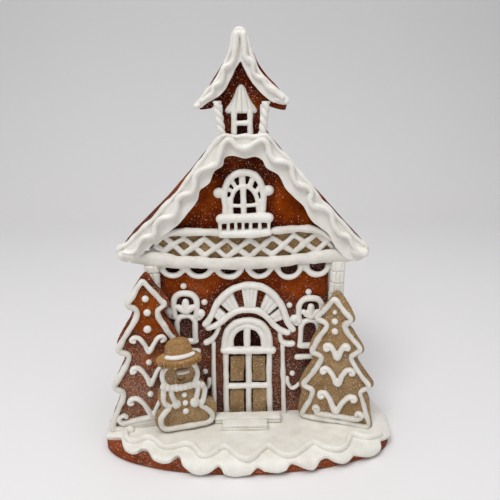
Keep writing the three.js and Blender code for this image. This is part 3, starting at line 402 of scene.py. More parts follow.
def dough(name, deep, mid, warm, glitter, density=0.16, grain=0.6, haze=0.25, rough=0.62, low_more=0.5, centres=(), bright=0.92, specular=0.10, low_haze=0.0, heights=(0.17, 0.02)):
    """Baked dough: blotchy colour, fine grain, and glitter that lies thicker in drifts and towards the foot.
    centres are (x, z, radius) in metres: patches where the colour is warmer and the glitter thinner. On the walls this
    is painted light: the dough is drawn lighter and warmer where no shade falls and darker towards the shaded trim
    edges, and partly it is the dough's own airbrushed tone."""
    mat, nt, bsdf, where, node = material(name)
    blotch = node("ShaderNodeTexNoise", {"Vector": where, "Scale": 38.0, "Detail": 3.0, "Roughness": 0.55})
    patch = node("ShaderNodeTexNoise", {"Vector": where, "Scale": 130.0, "Detail": 4.0, "Roughness": 0.6})
    fine = node("ShaderNodeTexNoise", {"Vector": where, "Scale": 900.0, "Detail": 3.0, "Roughness": 0.7})
    mix = node("ShaderNodeMath", {0: blotch, 1: 0.62}, operation="MULTIPLY")
    mix = node("ShaderNodeMath", {0: patch, 1: 0.38, 2: mix}, operation="MULTIPLY_ADD")
    split = node("ShaderNodeSeparateXYZ", {"Vector": where}).node
    # warm patches: on the walls this is painted light, with the dough lighter and warmer away from the shade at the
    # trims and a little darker everywhere else; partly it is the dough's own airbrushed tone
    warm_patch = None
    for x, z, r in centres:
        flat = node("ShaderNodeCombineXYZ", {"X": split.outputs["X"], "Y": 0.0, "Z": split.outputs["Z"]})
        far = node("ShaderNodeVectorMath", {0: flat, 1: (x, 0.0, z)}, out_=1, operation="DISTANCE")
        here = node("ShaderNodeMapRange", {"Value": far, "From Min": r, "From Max": r * 0.35, "To Min": 0.0, "To Max": 1.0}, interpolation_type="SMOOTHSTEP")
        warm_patch = here if warm_patch is None else node("ShaderNodeMath", {0: warm_patch, 1: here}, operation="MAXIMUM")
    if warm_patch is not None:
        mix = node("ShaderNodeMath", {0: warm_patch, 1: 0.20, 2: mix}, operation="MULTIPLY_ADD")
        mix = node("ShaderNodeMath", {0: mix, 1: 0.06}, operation="SUBTRACT")
    ramp = node("ShaderNodeValToRGB", {"Fac": mix}).node
    e = ramp.color_ramp.elements
    e[0].position, e[0].color = 0.34, deep
    e[1].position, e[1].color = 0.68, warm
    m = ramp.color_ramp.elements.new(0.5)
    m.color = mid
    shade = node("ShaderNodeMapRange", {"Value": fine, "From Min": 0.3, "From Max": 0.7, "To Min": 0.84, "To Max": 1.14})
    colour = node("ShaderNodeVectorMath", {0: ramp.outputs["Color"], "Scale": shade}, operation="SCALE")
    # glitter drifts: more towards the foot of the object
    down = node("ShaderNodeMapRange", {"Value": split.outputs["Z"], "From Min": heights[0], "From Max": heights[1], "To Min": 0.0, "To Max": 1.0})
    foot = node("ShaderNodeMath", {0: down, 1: low_more}, operation="MULTIPLY")
    drift = node("ShaderNodeTexNoise", {"Vector": where, "Scale": 60.0, "Detail": 2.0})
    drift = node("ShaderNodeMapRange", {"Value": drift, "From Min": 0.38, "From Max": 0.64, "To Min": 0.4, "To Max": 1.0})
    amount = node("ShaderNodeMath", {0: drift, 1: foot}, operation="ADD")
    if warm_patch is not None:
        thin = node("ShaderNodeMapRange", {"Value": warm_patch, "To Min": 1.0, "To Max": 0.36})
        amount = node("ShaderNodeMath", {0: amount, 1: thin}, operation="MULTIPLY")
    dens = node("ShaderNodeMath", {0: amount, 1: density}, operation="MULTIPLY")
    rare = node("ShaderNodeMath", {0: dens, 1: 0.22}, operation="MULTIPLY")
    m0, g0, b0 = specks(node, where, 1.45, 0.30, rare, 6.3)
    m1, g1, b1 = specks(node, where, 0.82, 0.38, dens, 3.1)
    m2, g2, b2 = specks(node, where, 0.50, 0.38, dens, 9.7)
    lift = node("ShaderNodeMapRange", {"Value": g1, "From Min": 0.0, "From Max": 1.0, "To Min": 0.2, "To Max": bright})
    s0 = node("ShaderNodeMath", {0: m0, 1: bright}, operation="MULTIPLY")
    s1 = node("ShaderNodeMath", {0: m1, 1: lift}, operation="MULTIPLY")
    s2 = node("ShaderNodeMath", {0: m2, 1: 0.45}, operation="MULTIPLY")
    s = node("ShaderNodeMath", {0: s1, 1: s2}, operation="MAXIMUM")
    s = node("ShaderNodeMath", {0: s, 1: s0}, operation="MAXIMUM")
    veil = node("ShaderNodeMath", {0: down, 1: low_haze, 2: haze}, operation="MULTIPLY_ADD")
    veil = node("ShaderNodeMath", {0: veil, 1: drift}, operation="MULTIPLY")
    grains = node("ShaderNodeMapRange", {"Value": fine, "From Min": 0.35, "From Max": 0.65, "To Min": 0.45, "To Max": 1.25})
    veil = node("ShaderNodeMath", {0: veil, 1: grains}, operation="MULTIPLY", use_clamp=True)
    tint = node("ShaderNodeMix", {0: veil, 6: colour, 7: glitter}, 2, data_type="RGBA")
    cool = node("ShaderNodeMath", {0: b1, 1: 0.45}, operation="GREATER_THAN")
    flake = node("ShaderNodeMix", {0: cool, 6: (0.90, 0.62, 0.34, 1), 7: (0.92, 0.80, 0.78, 1)}, 2, data_type="RGBA")
    final = node("ShaderNodeMix", {0: s, 6: tint, 7: flake}, 2, data_type="RGBA")
    nt.links.new(final, bsdf.inputs["Base Color"])
    gloss = node("ShaderNodeMapRange", {"Value": s, "To Min": rough, "To Max": 0.2})
    nt.links.new(gloss, bsdf.inputs["Roughness"])
    grit = node("ShaderNodeTexNoise", {"Vector": where, "Scale": 1000 / grain, "Detail": 3.0, "Roughness": 0.65})
    bump = node("ShaderNodeMath", {0: s, 1: 0.8, 2: grit}, operation="MULTIPLY_ADD")
    nt.links.new(node("ShaderNodeBump", {"Height": bump, "Strength": 0.6, "Distance": 0.00026}), bsdf.inputs["Normal"])
    bsdf.inputs["Specular IOR Level"].default_value = specular
    return mat


def icing(name, base, shade, density, rough=0.42, grain=1.1, strength=0.25, sparkle=0.6, specular=0.4):
    """Piped icing: satin, faintly mottled, with a few clear flecks."""
    mat, nt, bsdf, where, node = material(name)
    mottle = node("ShaderNodeTexNoise", {"Vector": where, "Scale": 110.0, "Detail": 4.0, "Roughness": 0.6})
    fac = node("ShaderNodeMapRange", {"Value": mottle, "From Min": 0.35, "From Max": 0.65})
    colour = node("ShaderNodeMix", {0: fac, 6: shade, 7: base}, 2, data_type="RGBA")
    m1, g1, b1 = specks(node, where, 0.9, 0.28, density, 5.3)
    s = node("ShaderNodeMath", {0: m1, 1: sparkle}, operation="MULTIPLY")
    light = node("ShaderNodeMath", {0: g1, 1: 0.45}, operation="GREATER_THAN")
    fleck = node("ShaderNodeMix", {0: light, 6: (0.62, 0.60, 0.57, 1), 7: (0.98, 0.97, 0.95, 1)}, 2, data_type="RGBA")
    final = node("ShaderNodeMix", {0: s, 6: colour, 7: fleck}, 2, data_type="RGBA")
    nt.links.new(final, bsdf.inputs["Base Color"])
    var = node("ShaderNodeMapRange", {"Value": mottle, "From Min": 0.3, "From Max": 0.7, "To Min": rough - 0.06, "To Max": rough + 0.1})
    gloss = node("ShaderNodeMix", {0: s, 2: var, 3: 0.12}, 0, data_type="FLOAT")
    nt.links.new(gloss, bsdf.inputs["Roughness"])
    grit = node("ShaderNodeTexNoise", {"Vector": where, "Scale": 1000 / grain, "Detail": 3.0, "Roughness": 0.6})
    bump = node("ShaderNodeMath", {0: s, 1: 0.7, 2: grit}, operation="MULTIPLY_ADD")
    nt.links.new(node("ShaderNodeBump", {"Height": bump, "Strength": strength, "Distance": 0.0002}), bsdf.inputs["Normal"])
    bsdf.inputs["Specular IOR Level"].default_value = specular
    return mat


# painted light on the walls: patches where the dough is drawn lighter and warmer, away from the shade under the trims
# and the beam
WALL_LIT_PATCHES = [(-0.031, 0.167, 0.022), (0.024, 0.165, 0.021), (-0.048, 0.108, 0.016), (-0.030, 0.1095, 0.017), (-0.010, 0.1115, 0.016), (0.010, 0.1115, 0.017), (0.030, 0.108, 0.018), (-0.047, 0.156, 0.014), (0.042, 0.151, 0.014), (0.046, 0.106, 0.013)]
FIR = [(-0.068, 0.100, 0.015), (-0.067, 0.083, 0.012), (-0.066, 0.060, 0.010)]
BROWN = dough("brown_biscuit", srgb(72, 18, 4), srgb(106, 38, 6), srgb(146, 64, 10), srgb(170, 130, 112), density=0.37, haze=0.0, rough=0.75, centres=WALL_LIT_PATCHES, bright=0.95, specular=0.02, low_more=1.9, low_haze=0.22, heights=(0.12, 0.02))
BASE = dough("base_biscuit", srgb(88, 32, 12), srgb(132, 56, 22), srgb(162, 76, 34), srgb(200, 144, 106), density=0.40, haze=0.05, rough=0.7, bright=0.9, specular=0.04, low_more=0.2)
FROST = dough("brown_biscuit_fir", srgb(84, 26, 6), srgb(120, 50, 10), srgb(152, 72, 14), srgb(190, 154, 130), density=0.62, haze=0.02, rough=0.72, centres=FIR, bright=1.0, specular=0.03, low_more=1.5, low_haze=0.30, heights=(0.086, 0.02))
TAN = dough("tan_biscuit", srgb(108, 78, 42), srgb(147, 114, 71), srgb(172, 140, 96), srgb(204, 180, 138), density=0.68, grain=0.8, haze=0.16, bright=1.0, specular=0.14)
STRAW = dough("straw_biscuit", srgb(126, 90, 46), srgb(148, 108, 60), srgb(172, 130, 78), srgb(205, 172, 124), density=0.35, grain=0.9, haze=0.10, specular=0.12)
# painted shade: a near-black dough laid where the attic window, door, steeple window and left scallops show only deep
# shadow
SHADE_DARK = dough("dark_pane", srgb(30, 8, 4), srgb(42, 12, 6), srgb(56, 18, 9), srgb(90, 40, 30), density=0.12, haze=0.04, rough=0.75, bright=0.35, specular=0.03)
# painted shade: a darkened copy of the glittered brown dough for the wall windows and the right scallops, where the
# wall lies in shadow
SHADE_GLITTERY = dough("glittery_pane", srgb(48, 14, 8), srgb(66, 24, 14), srgb(84, 34, 18), srgb(140, 100, 90), density=0.6, haze=0.10, rough=0.7, bright=0.75, specular=0.05)
ICING = icing("icing", srgb(243, 240, 234), srgb(232, 228, 220), 0.12, rough=0.38, specular=0.45)
GRIT = icing("gritty_icing", srgb(237, 233, 226), srgb(220, 215, 205), 0.42, rough=0.5, grain=0.8, strength=0.5, sparkle=0.8, specular=0.4)
SNOW = icing("snow_icing", srgb(242, 239, 232), srgb(231, 227, 216), 0.46, rough=0.46, grain=0.9, strength=0.6, sparkle=1.0, specular=0.45)
# ------------------------------------------------------------------ board and snow
BOARD = dict(half=96.0, back=33.0, bend=-34.0, bulge=34.0, corner=6.0)


ASIDE = -1.9       # the board sits a little to the left of the house


def board_outline(grow, front=260, corner=10, side=14, back=60):
    """The board's outline, running from the left side's bend round the front. Returns points and outward directions."""
    h = BOARD["half"] + grow
    bend, top = BOARD["bend"], BOARD["back"]
    pts = [arc(0, bend, h, BOARD["bulge"] + grow, 180, 360, front)]
    y = bend + (top - bend) * np.linspace(0, 1, side + corner + 1) ** 0.85
    x = h * (1 - ((y - bend) / 78) ** 2.6) ** 0.42
    y = y + grow * (y - bend) / (top - bend)
    pts.append(np.column_stack([x, y])[1:])
    pts.append(np.linspace([x[-1], y[-1]], [-x[-1], y[-1]], back + 1)[1:])
    pts.append(np.column_stack([-x, y])[::-1][1:-1])
    p = np.concatenate(pts)
    t = np.roll(p, -1, 0) - np.roll(p, 1, 0)
    t /= np.linalg.norm(t, axis=1)[:, None]
    return p + [ASIDE, 0], np.stack([t[:, 1], -t[:, 0]], 1)


def ringed(rings, close_low=True, close_top=True):
    """Faces between closed rings of equal length, listed from the underside round to the top."""
    m, n = len(rings), len(rings[0])
    faces = [(i * n + k, i * n + (k + 1) % n, (i + 1) * n + (k + 1) % n, (i + 1) * n + k) for i in range(m - 1) for k in range(n)]
    if close_low:
        faces.append(tuple(range(n))[::-1])
    if close_top:
        faces.append(tuple(range((m - 1) * n, m * n)))
    return np.concatenate(rings), faces


def build_board():
    p, out = board_outline(0)
    ripple = 0.35 * field(np.column_stack([p, np.zeros(len(p))]), 9)
    rings = []
    for inset, z in [(3.0, 0), (1.0, 0), (0.35, 0.18), (0.05, 0.7), (0, 1.6), (0.05, 3.0), (0.15, 4.6), (0.1, 6.0), (0.5, 6.75), (1.6, 7.0), (4, 7.0)]:
        wave = ripple * 0.5 + 0.15 * np.sin(p[:, 0] / 6 + z) if 0.1 < z < 6.9 else np.zeros(len(p))
        q = p - out * (inset - wave)[:, None]
        rings.append(np.column_stack([q, np.full(len(q), float(z))]))
    c = Clay()
    c.add(*ringed(rings), plain=True)
    piece("board", c, BASE, ["base_plate"])


# Lower edge of the snow along the bowed front: (share of the front from left to right, height).
DRIPS = [(0.0, 6.4), (0.0435, 6.9), (0.19, 7.0), (0.1949, 6.8), (0.2112, 7.0), (0.2760, 7.0), (0.2828, 6.0), (0.294, 5.0), (0.3052, 5.0), (0.3183, 5.9), (0.326, 7.0), (0.351, 7.0), (0.3515, 6.7), (0.3548, 5.0), (0.3615, 3.6), (0.368, 2.3), (0.3773, 0.3), (0.3867, -0.5), (0.396, -0.6), (0.4071, 0.2),
         (0.4163, 1.8), (0.4236, 3.8), (0.43, 5.7), (0.4335, 6.2), (0.4382, 5.2), (0.4422, 3.0), (0.4447, 0.8), (0.4535, -0.7), (0.4657, -1.5), (0.478, -1.0), (0.4884, -0.2), (0.4989, 0.4), (0.5037, 2.0), (0.511, 4.6), (0.5145, 5.3), (0.5215, 4.3), (0.5276, 2.6), (0.5338, 2.1), (0.5426, 1.1), (0.5551, 0.3),
         (0.5658, 1.1), (0.5748, 2.2), (0.5795, 4.4), (0.584, 5.8), (0.589, 6.4), (0.5984, 5.2), (0.6099, 3.1), (0.6197, 1.4), (0.6325, 0.0), (0.6393, 1.3), (0.646, 3.7), (0.6548, 6.3), (0.6600, 7.0), (0.6740, 7.0), (0.6782, 5.8), (0.6898, 3.2), (0.7016, 1.5), (0.7138, 0.6), (0.7234, 1.5), (0.7332, 3.2),
         (0.7433, 4.7), (0.7605, 3.3), (0.7794, 1.5), (0.7965, 0.1), (0.8151, -0.4), (0.8351, 0.8), (0.8478, 3.0), (0.8542, 5.6), (0.857, 7.0), (0.876, 7.0), (0.9031, 5.6), (0.93, 4.6), (0.955, 5.4), (0.975, 6.8), (1.0, 5.0)]
# Where the snow stops short of the board's edge: (share, distance).
SHORT = [(0.0, 0.0), (0.0444, 0.0), (0.0578, 1.3), (0.0722, 3.1), (0.0867, 5.4), (0.1033, 6.9), (0.1133, 7.4), (0.13, 6.1), (0.15, 3.9), (0.1733, 1.3), (0.1956, 0.0), (0.2111, 0.0), (0.2233, 1.6), (0.2289, 4.1), (0.2322, 5.1), (0.24, 5.6), (0.2489, 5.4), (0.2578, 4.1), (0.2711, 1.3), (0.2780, 0.0),
         (0.3240, 0.0), (0.3278, 0.8), (0.3322, 3.4), (0.3356, 4.7), (0.3411, 4.6), (0.3467, 2.6), (0.351, 0.0), (0.66, 0.0), (0.6633, 0.6), (0.67, 0.5), (0.673, 0.0), (0.855, 0.0), (0.8589, 0.8), (0.8744, 0.2), (0.88, 0.0), (1.0, 0.0)]
def build_snow():
    p, out = board_outline(0.0, front=1200, corner=10, side=66, back=130)
    n = len(p)
    seg = np.linalg.norm(np.roll(p, -1, 0) - p, axis=1)
    run = np.concatenate([[0], np.cumsum(seg)[:-1]])
    front = 1201
    drip = np.empty(n)         # how low the snow's lower edge seems to reach, seen from above the front
    d = np.array(DRIPS)
    share = np.linspace(0, 1, front)
    drip[:front] = np.interp(share, d[:, 0], d[:, 1])
    s = run[front:] - run[front - 1]
    rest = 3.4 + 3.2 * np.sin(s / 3.9 + 0.9) + 0.9 * np.sin(s / 8.9)
    mix = np.clip(s / 8, 0, 1) * np.clip((s[-1] - s) / 8, 0, 1)
    drip[front:] = rest * mix + (1 - mix) * np.where(s < s[-1] / 2, d[-1, 1], d[0, 1])
    short = np.zeros(n)
    short[:front] = np.interp(share, *np.array(SHORT).T)
    drip = np.clip(drip, -1.7, 7.05)
    for _ in range(3):
        drip = (np.roll(drip, 1) + 2 * drip + np.roll(drip, -1)) / 4
        short = (np.roll(short, 1) + 2 * short + np.roll(short, -1)) / 4
    fat = np.clip((7.2 - drip) / 6.0, 0, 1)          # 1 where a lobe hangs, 0 in the notches
    fat = fat * fat * (3 - 2 * fat)
    lobe = (0.6 + 2.9 * fat) * np.clip(1 - short / 2.0, 0.4, 1)
    high = np.full(n, 2.0)
    for _ in range(8):
        full = drip + np.hypot(lobe * 0.8, high)      # height where the lobe is fullest
        high = np.clip(full - 0.3, 0.3, 2.4)
    top = 10.3 + 0.35 * fat
    full = np.minimum(full, top - 0.9)
    foot = np.maximum(full - high, 0.25)
    foot = np.where(short > 0.3, np.minimum(foot, 7.04), foot)
    edge = p - out * short[:, None]
    rings = []

    def ring(outward, z):
        rings.append(np.column_stack([edge + out * np.broadcast_to(outward, n)[:, None], np.broadcast_to(z, n)]))

    ring(-5.0, 7.02)
    ring(-1.0, 7.02)
    ring(-0.3, np.minimum(foot + 0.5, 7.04))
    for k in range(0, 8):
        a = math.pi / 2 * k / 7
        ring(-0.1 + (lobe + 0.1) * math.sin(a), foot + (full - foot) * (1 - math.cos(a)))
    wide = 4.2 + 1.2 * fat
    for k in range(1, 13):
        a = math.pi / 2 * k / 12
        ring(lobe - (lobe + wide) * (1 - math.cos(a)), full + (top - full) * math.sin(a))
    for inset_, lift in [(6.8, 0.02), (8.6, -0.02), (10.6, -0.1)]:
        ring(-inset_, top * 0.3 + 0.7 * 10.3 + lift)
    base = edge - out * 10.6
    for k in (0.955, 0.91, 0.865, 0.82, 0.77, 0.72, 0.66, 0.6, 0.53, 0.46, 0.38, 0.3, 0.22, 0.14, 0.06):
        q = np.column_stack([base[:, 0] * (0.25 + 0.75 * k), -6 + (base[:, 1] + 6) * k])
        # the bed is dished: it falls towards the house
        rings.append(np.column_stack([q, np.full(n, 8.05 + 2.15 * max(0.0, (k - 0.5) / 0.5) ** 0.9)]))
    verts, faces = ringed(rings)
    first = n * 22
    lay = np.arange(len(verts)) > first
    ramp_ = np.clip((np.arange(len(verts)) - first) / (4 * n), 0, 1)
    bump = 0.15 * field(verts, 6.5) + 0.11 * field(verts + 50, 2.4)
    verts[:, 2] += np.where(lay, bump * ramp_, 0)
    side = ~lay
    verts[:, :2] += (out[np.arange(len(verts)) % n] * np.where(side, 0.12 * field(verts + 9, 2.6), 0)[:, None])
    # a low bank against the right tree's outer side
    bank = 2.8 * np.exp(-(((verts[:, 0] - 85) / 7.5) ** 2 + ((verts[:, 1] + 17) / 12) ** 2))
    bank += 1.4 * np.exp(-(((verts[:, 0] + 90) / 6) ** 2 + ((verts[:, 1] + 18) / 11) ** 2))
    verts[:, 2] += np.where(lay, bank * ramp_, 0)
    c = Clay()
    c.add(verts, faces, plain=True)
    piece("snow", c, SNOW, ["base_snow"])
    c = Clay()
    c.stroke([(-81.2, -35.2), (-82.9, -33.9), (-84.4, -35.6), (-84.4, -38.6), (-83.1, -42.6), (-80.9, -45.7), (-77.6, -46.7), (-75.0, -45.9), (-72.5, -44.1), (-69.4, -43.2), (-66.6, -43.8), (-63.5, -46.3), (-60.3, -50.2), (-57.3, -52.8), (-54.0, -53.7), (-50.3, -52.8), (-47.2, -51.5), (-44.0, -50.5), (-41.3, -50.7),
              (-38.5, -52.9), (-36.1, -56.9), (-33.7, -60.8), (-31.3, -62.7), (-28.4, -62.4), (-24.8, -59.6), (-21.7, -55.8), (-17.9, -54.0), (-15.2, -56.5), (-11.5, -61.6), (-8.4, -64.7), (-5.3, -66.1), (-2.4, -66.0), (1.1, -63.8), (4.5, -59.1), (7.9, -55.7), (10.5, -54.6), (13.7, -57.8), (16.5, -61.6), (20.1, -63.8),
              (24.3, -64.0), (28.2, -62.2), (32.4, -58.3), (36.2, -54.2), (39.2, -52.1), (42.4, -52.6), (45.2, -55.7), (48.6, -58.3), (52.6, -59.5), (56.5, -58.9), (60.1, -56.0), (62.5, -51.5), (64.8, -46.7), (67.9, -44.2), (70.2, -46.0), (73.7, -48.0), (78.1, -48.2), (82.4, -46.8), (85.2, -45.4)],
             [3.7, 4.0, 4.1, 3.9, 4.1, 4.0, 4.1, 3.8], 13.7, 5.0, put=lying, wobble=0.05, step=0.8)
    piece("snow_rope", c, SNOW, ["base_rope"], voxel=0.40, smooth=1, uneven=((0.09, 2.6), (0.06, 1.1)))


# ------------------------------------------------------------------ walls and roof
SLOPE = dict(x=-4.4, ridge=223.2, a=(1.331, 1.161), b=(0.0027, 0.00067))


def roof_top(x, lower=0.0):
    x = np.asarray(x, float)
    side = np.where(x < SLOPE["x"], 0, 1)
    a, b = np.array(SLOPE["a"])[side], np.array(SLOPE["b"])[side]
    d = np.abs(x - SLOPE["x"])
    return SLOPE["ridge"] - a * d + b * d * d - lower * np.hypot(1, a - 2 * b * d)


def build_house():
    c = Clay()
    xs = np.linspace(52, -60.6, 40)
    z = np.minimum(204.6, roof_top(xs, 8.4))
    c.slab([(-60.6, 8.0), (52, 8.0), *zip(xs, z)], -22, WALL)
    piece("walls", c, BROWN, ["house_body"], voxel=1.15, smooth=2, uneven=((0.12, 9), (0.06, 3)))
    for name, side, tip in (("roof_slab_left", -1, -81.8), ("roof_slab_right", 1, 73.6)):
        c = Clay()
        x = np.linspace(-4.4 + side * 0.15, tip, 30)
        u = np.linspace(-4.4 + side * 0.15, tip - side * 4.5, 30)
        low = x[roof_top(x) < 205.5]
        outline = np.vstack([np.column_stack([low, roof_top(low)]), np.column_stack([u, np.minimum(roof_top(u, 6.5), 203)])[::-1]])
        c.slab(outline, -27, 19)
        ridge = np.column_stack([x, roof_top(x)])
        ridge = ridge[ridge[:, 1] > 203]
        under = np.column_stack([ridge[::-1][:, 0], np.full(len(ridge), 203.0)])
        c.slab(np.vstack([ridge, under]), -27, -10)
        sag = lambda co: co - np.column_stack([np.zeros((len(co), 2)), 1.6 * np.clip((co[:, 1] + 19) / 46, 0, 1)])
        piece(name, c, BROWN, [name.replace("slab_", "")], voxel=0.95, smooth=3, uneven=((0.14, 8), (0.06, 2.6)), shape=sag)


OUTER = [(-84.6, 132.6), (-83.0, 136.2), (-78.2, 138.8), (-73.1, 143.6), (-67.2, 149.2), (-61.4, 153.8), (-56.8, 158.9), (-53.3, 162.8), (-46.5, 169.5), (-39.6, 178.2), (-34.0, 185.8), (-28.4, 193.2), (-21.9, 201.6), (-16.5, 206.3), (-10, 205.4), (-3.8, 205.9), (2.6, 205.3), (8.9, 206.2),
         (16.4, 198.3), (23.0, 191.9), (32.0, 181.0), (39.9, 172.2), (43.5, 166.5), (51.6, 158.5), (62.4, 146.9), (68.6, 140.6), (73.6, 137.2), (76.2, 133.4)]
INNER = [(74.9, 129.6), (69.4, 125.9), (61.2, 127.2), (55.1, 133.9), (49, 143.5), (43.1, 148.2), (37.3, 154.1), (32.5, 162.1), (25.7, 168.9), (21.2, 173.4), (16.7, 181.7), (9.1, 186.6), (6.9, 190.9), (2.6, 193.1), (-3.9, 192.1), (-11.4, 193.2),
         (-15.6, 192.0), (-16.8, 187.8), (-22.2, 183.6), (-25.6, 177), (-31.2, 172.1), (-32.4, 167.1), (-39.2, 158.2), (-46.2, 150.3), (-57.7, 141.1), (-66.1, 134.5), (-69.5, 131.2), (-75, 128), (-81, 126.8), (-84.2, 129.0)]
ROPE_L = [(-79.8, 134.1), (-74.8, 133.6), (-71.4, 136.2), (-70.1, 139.8), (-67.1, 143.3), (-60.9, 145.4), (-59.2, 151.6), (-55.5, 155.4), (-48.2, 157.4), (-45.5, 162.8), (-45.1, 167.4), (-41.8, 170.3), (-36.4, 172.0), (-34.3, 176.2), (-33.9, 181.2), (-30.6, 184.9), (-26.3, 186.8), (-20.9, 189.2), (-18.9, 195.2), (-16.8, 200.5), (-13.9, 203.3), (-11.2, 202.2), (-9.0, 199.6), (-5, 198.1)]
ROPE_R = [(-5, 198.1), (-1, 199.2), (2.4, 201.4), (6.6, 203.2), (9.8, 200.6), (11.1, 194.7), (13.9, 191.0), (20.2, 190.0), (24.2, 187.5), (25.1, 181.8), (27.7, 176.8), (34.4, 174.6), (37.0, 171.2), (36.0, 166.9), (38.1, 162.9), (45.2, 161.3), (49.7, 157.6), (51.7, 150.2), (56.1, 144.9), (61.6, 142.5), (64.6, 136.4), (67.6, 133.2), (70.4, 132.0)]


def inset(path, d):
    """The path moved to its right-hand side."""
    t = np.gradient(path, axis=0)
    t /= np.linalg.norm(t, axis=1)[:, None] + 1e-9
    return path + d * np.column_stack([t[:, 1], -t[:, 0]])


def build_trim():
    """The wide icing band on the gable, with the stepped wave on it and a fuller bed along its outer side."""
    c = Clay()
    outer, inner = curve(OUTER, 1.5), curve(INNER, 1.5)
    pull = np.clip((outer[:, :1] + 45) / 30, 0, 1) * 0.6 + 0.1
    c.slab(np.vstack([inset(outer, pull - 1.0), inner]), 17.6, 21.0)
    rope = np.vstack([curve(ROPE_L, 1.0), curve(ROPE_R, 1.0)[1:]])
    # the bed between the wave and the outer edge stands a little higher than the inner side
    upper = inset(outer, 1.0)
    upper = upper[(outer[:, 0] > -80) & (outer[:, 0] < 73)]
    c.slab(np.vstack([upper, rope[::-1]]), 19, 21.8)
    # soft fat edges
    c.stroke(inset(outer, pull)[2:-2], 3.0, 23.0, 4.6, smooth=False, step=1.5, wobble=0.08)
    c.stroke([(-82.2, 131.4), (-79.4, 132.6), (-75.2, 131.6)], 5.4, 24.8, 6.6)
    c.stroke([(72.6, 131.8), (70.0, 132.0), (66.6, 132.6)], 5.8, 25.2, 7.0)
    c.stroke(rope, [2.6, 3.8, 3.9, 3.7, 4.0, 3.8, 3.9, 3.7, 3.9, 3.8, 2.6], 25.5, 5.4, smooth=False, step=1.0, wobble=0.08, plain=True, sides=16)
    piece("gable_icing", c, ICING, ["roof_trim", "roof_trim_rope"], voxel=0.42, smooth=2, uneven=((0.18, 3.6), (0.08, 1.5)))

    # The back gable has a plain band.
    c = Clay()
    x = np.linspace(-82.4, 72.8, 90)
    up = np.column_stack([x, roof_top(x, 0.8) - 1.6])
    d = np.linspace(57.6, -66, 80)
    down = np.column_stack([d, np.minimum(roof_top(d, 0.8) - 19.8, 193)])
    c.slab(np.vstack([up, [(75, 130.6), (74.6, 127.4), (71, 125), (62.6, 125.2)], down, [(-72.6, 129.1), (-79.8, 125.2), (-83.6, 127.2), (-84.2, 130.4)]]), -30.0, -27)
    c.stroke(np.column_stack([x, roof_top(x, 2.6) - 1.6])[4:-4], 3.6, -27.6, 3.2, put=lambda q: wall(q * [1, 1, 1]), smooth=False, step=1.7)
    piece("gable_icing_back", c, ICING, ["roof_trim_back"], voxel=0.7, smooth=5)


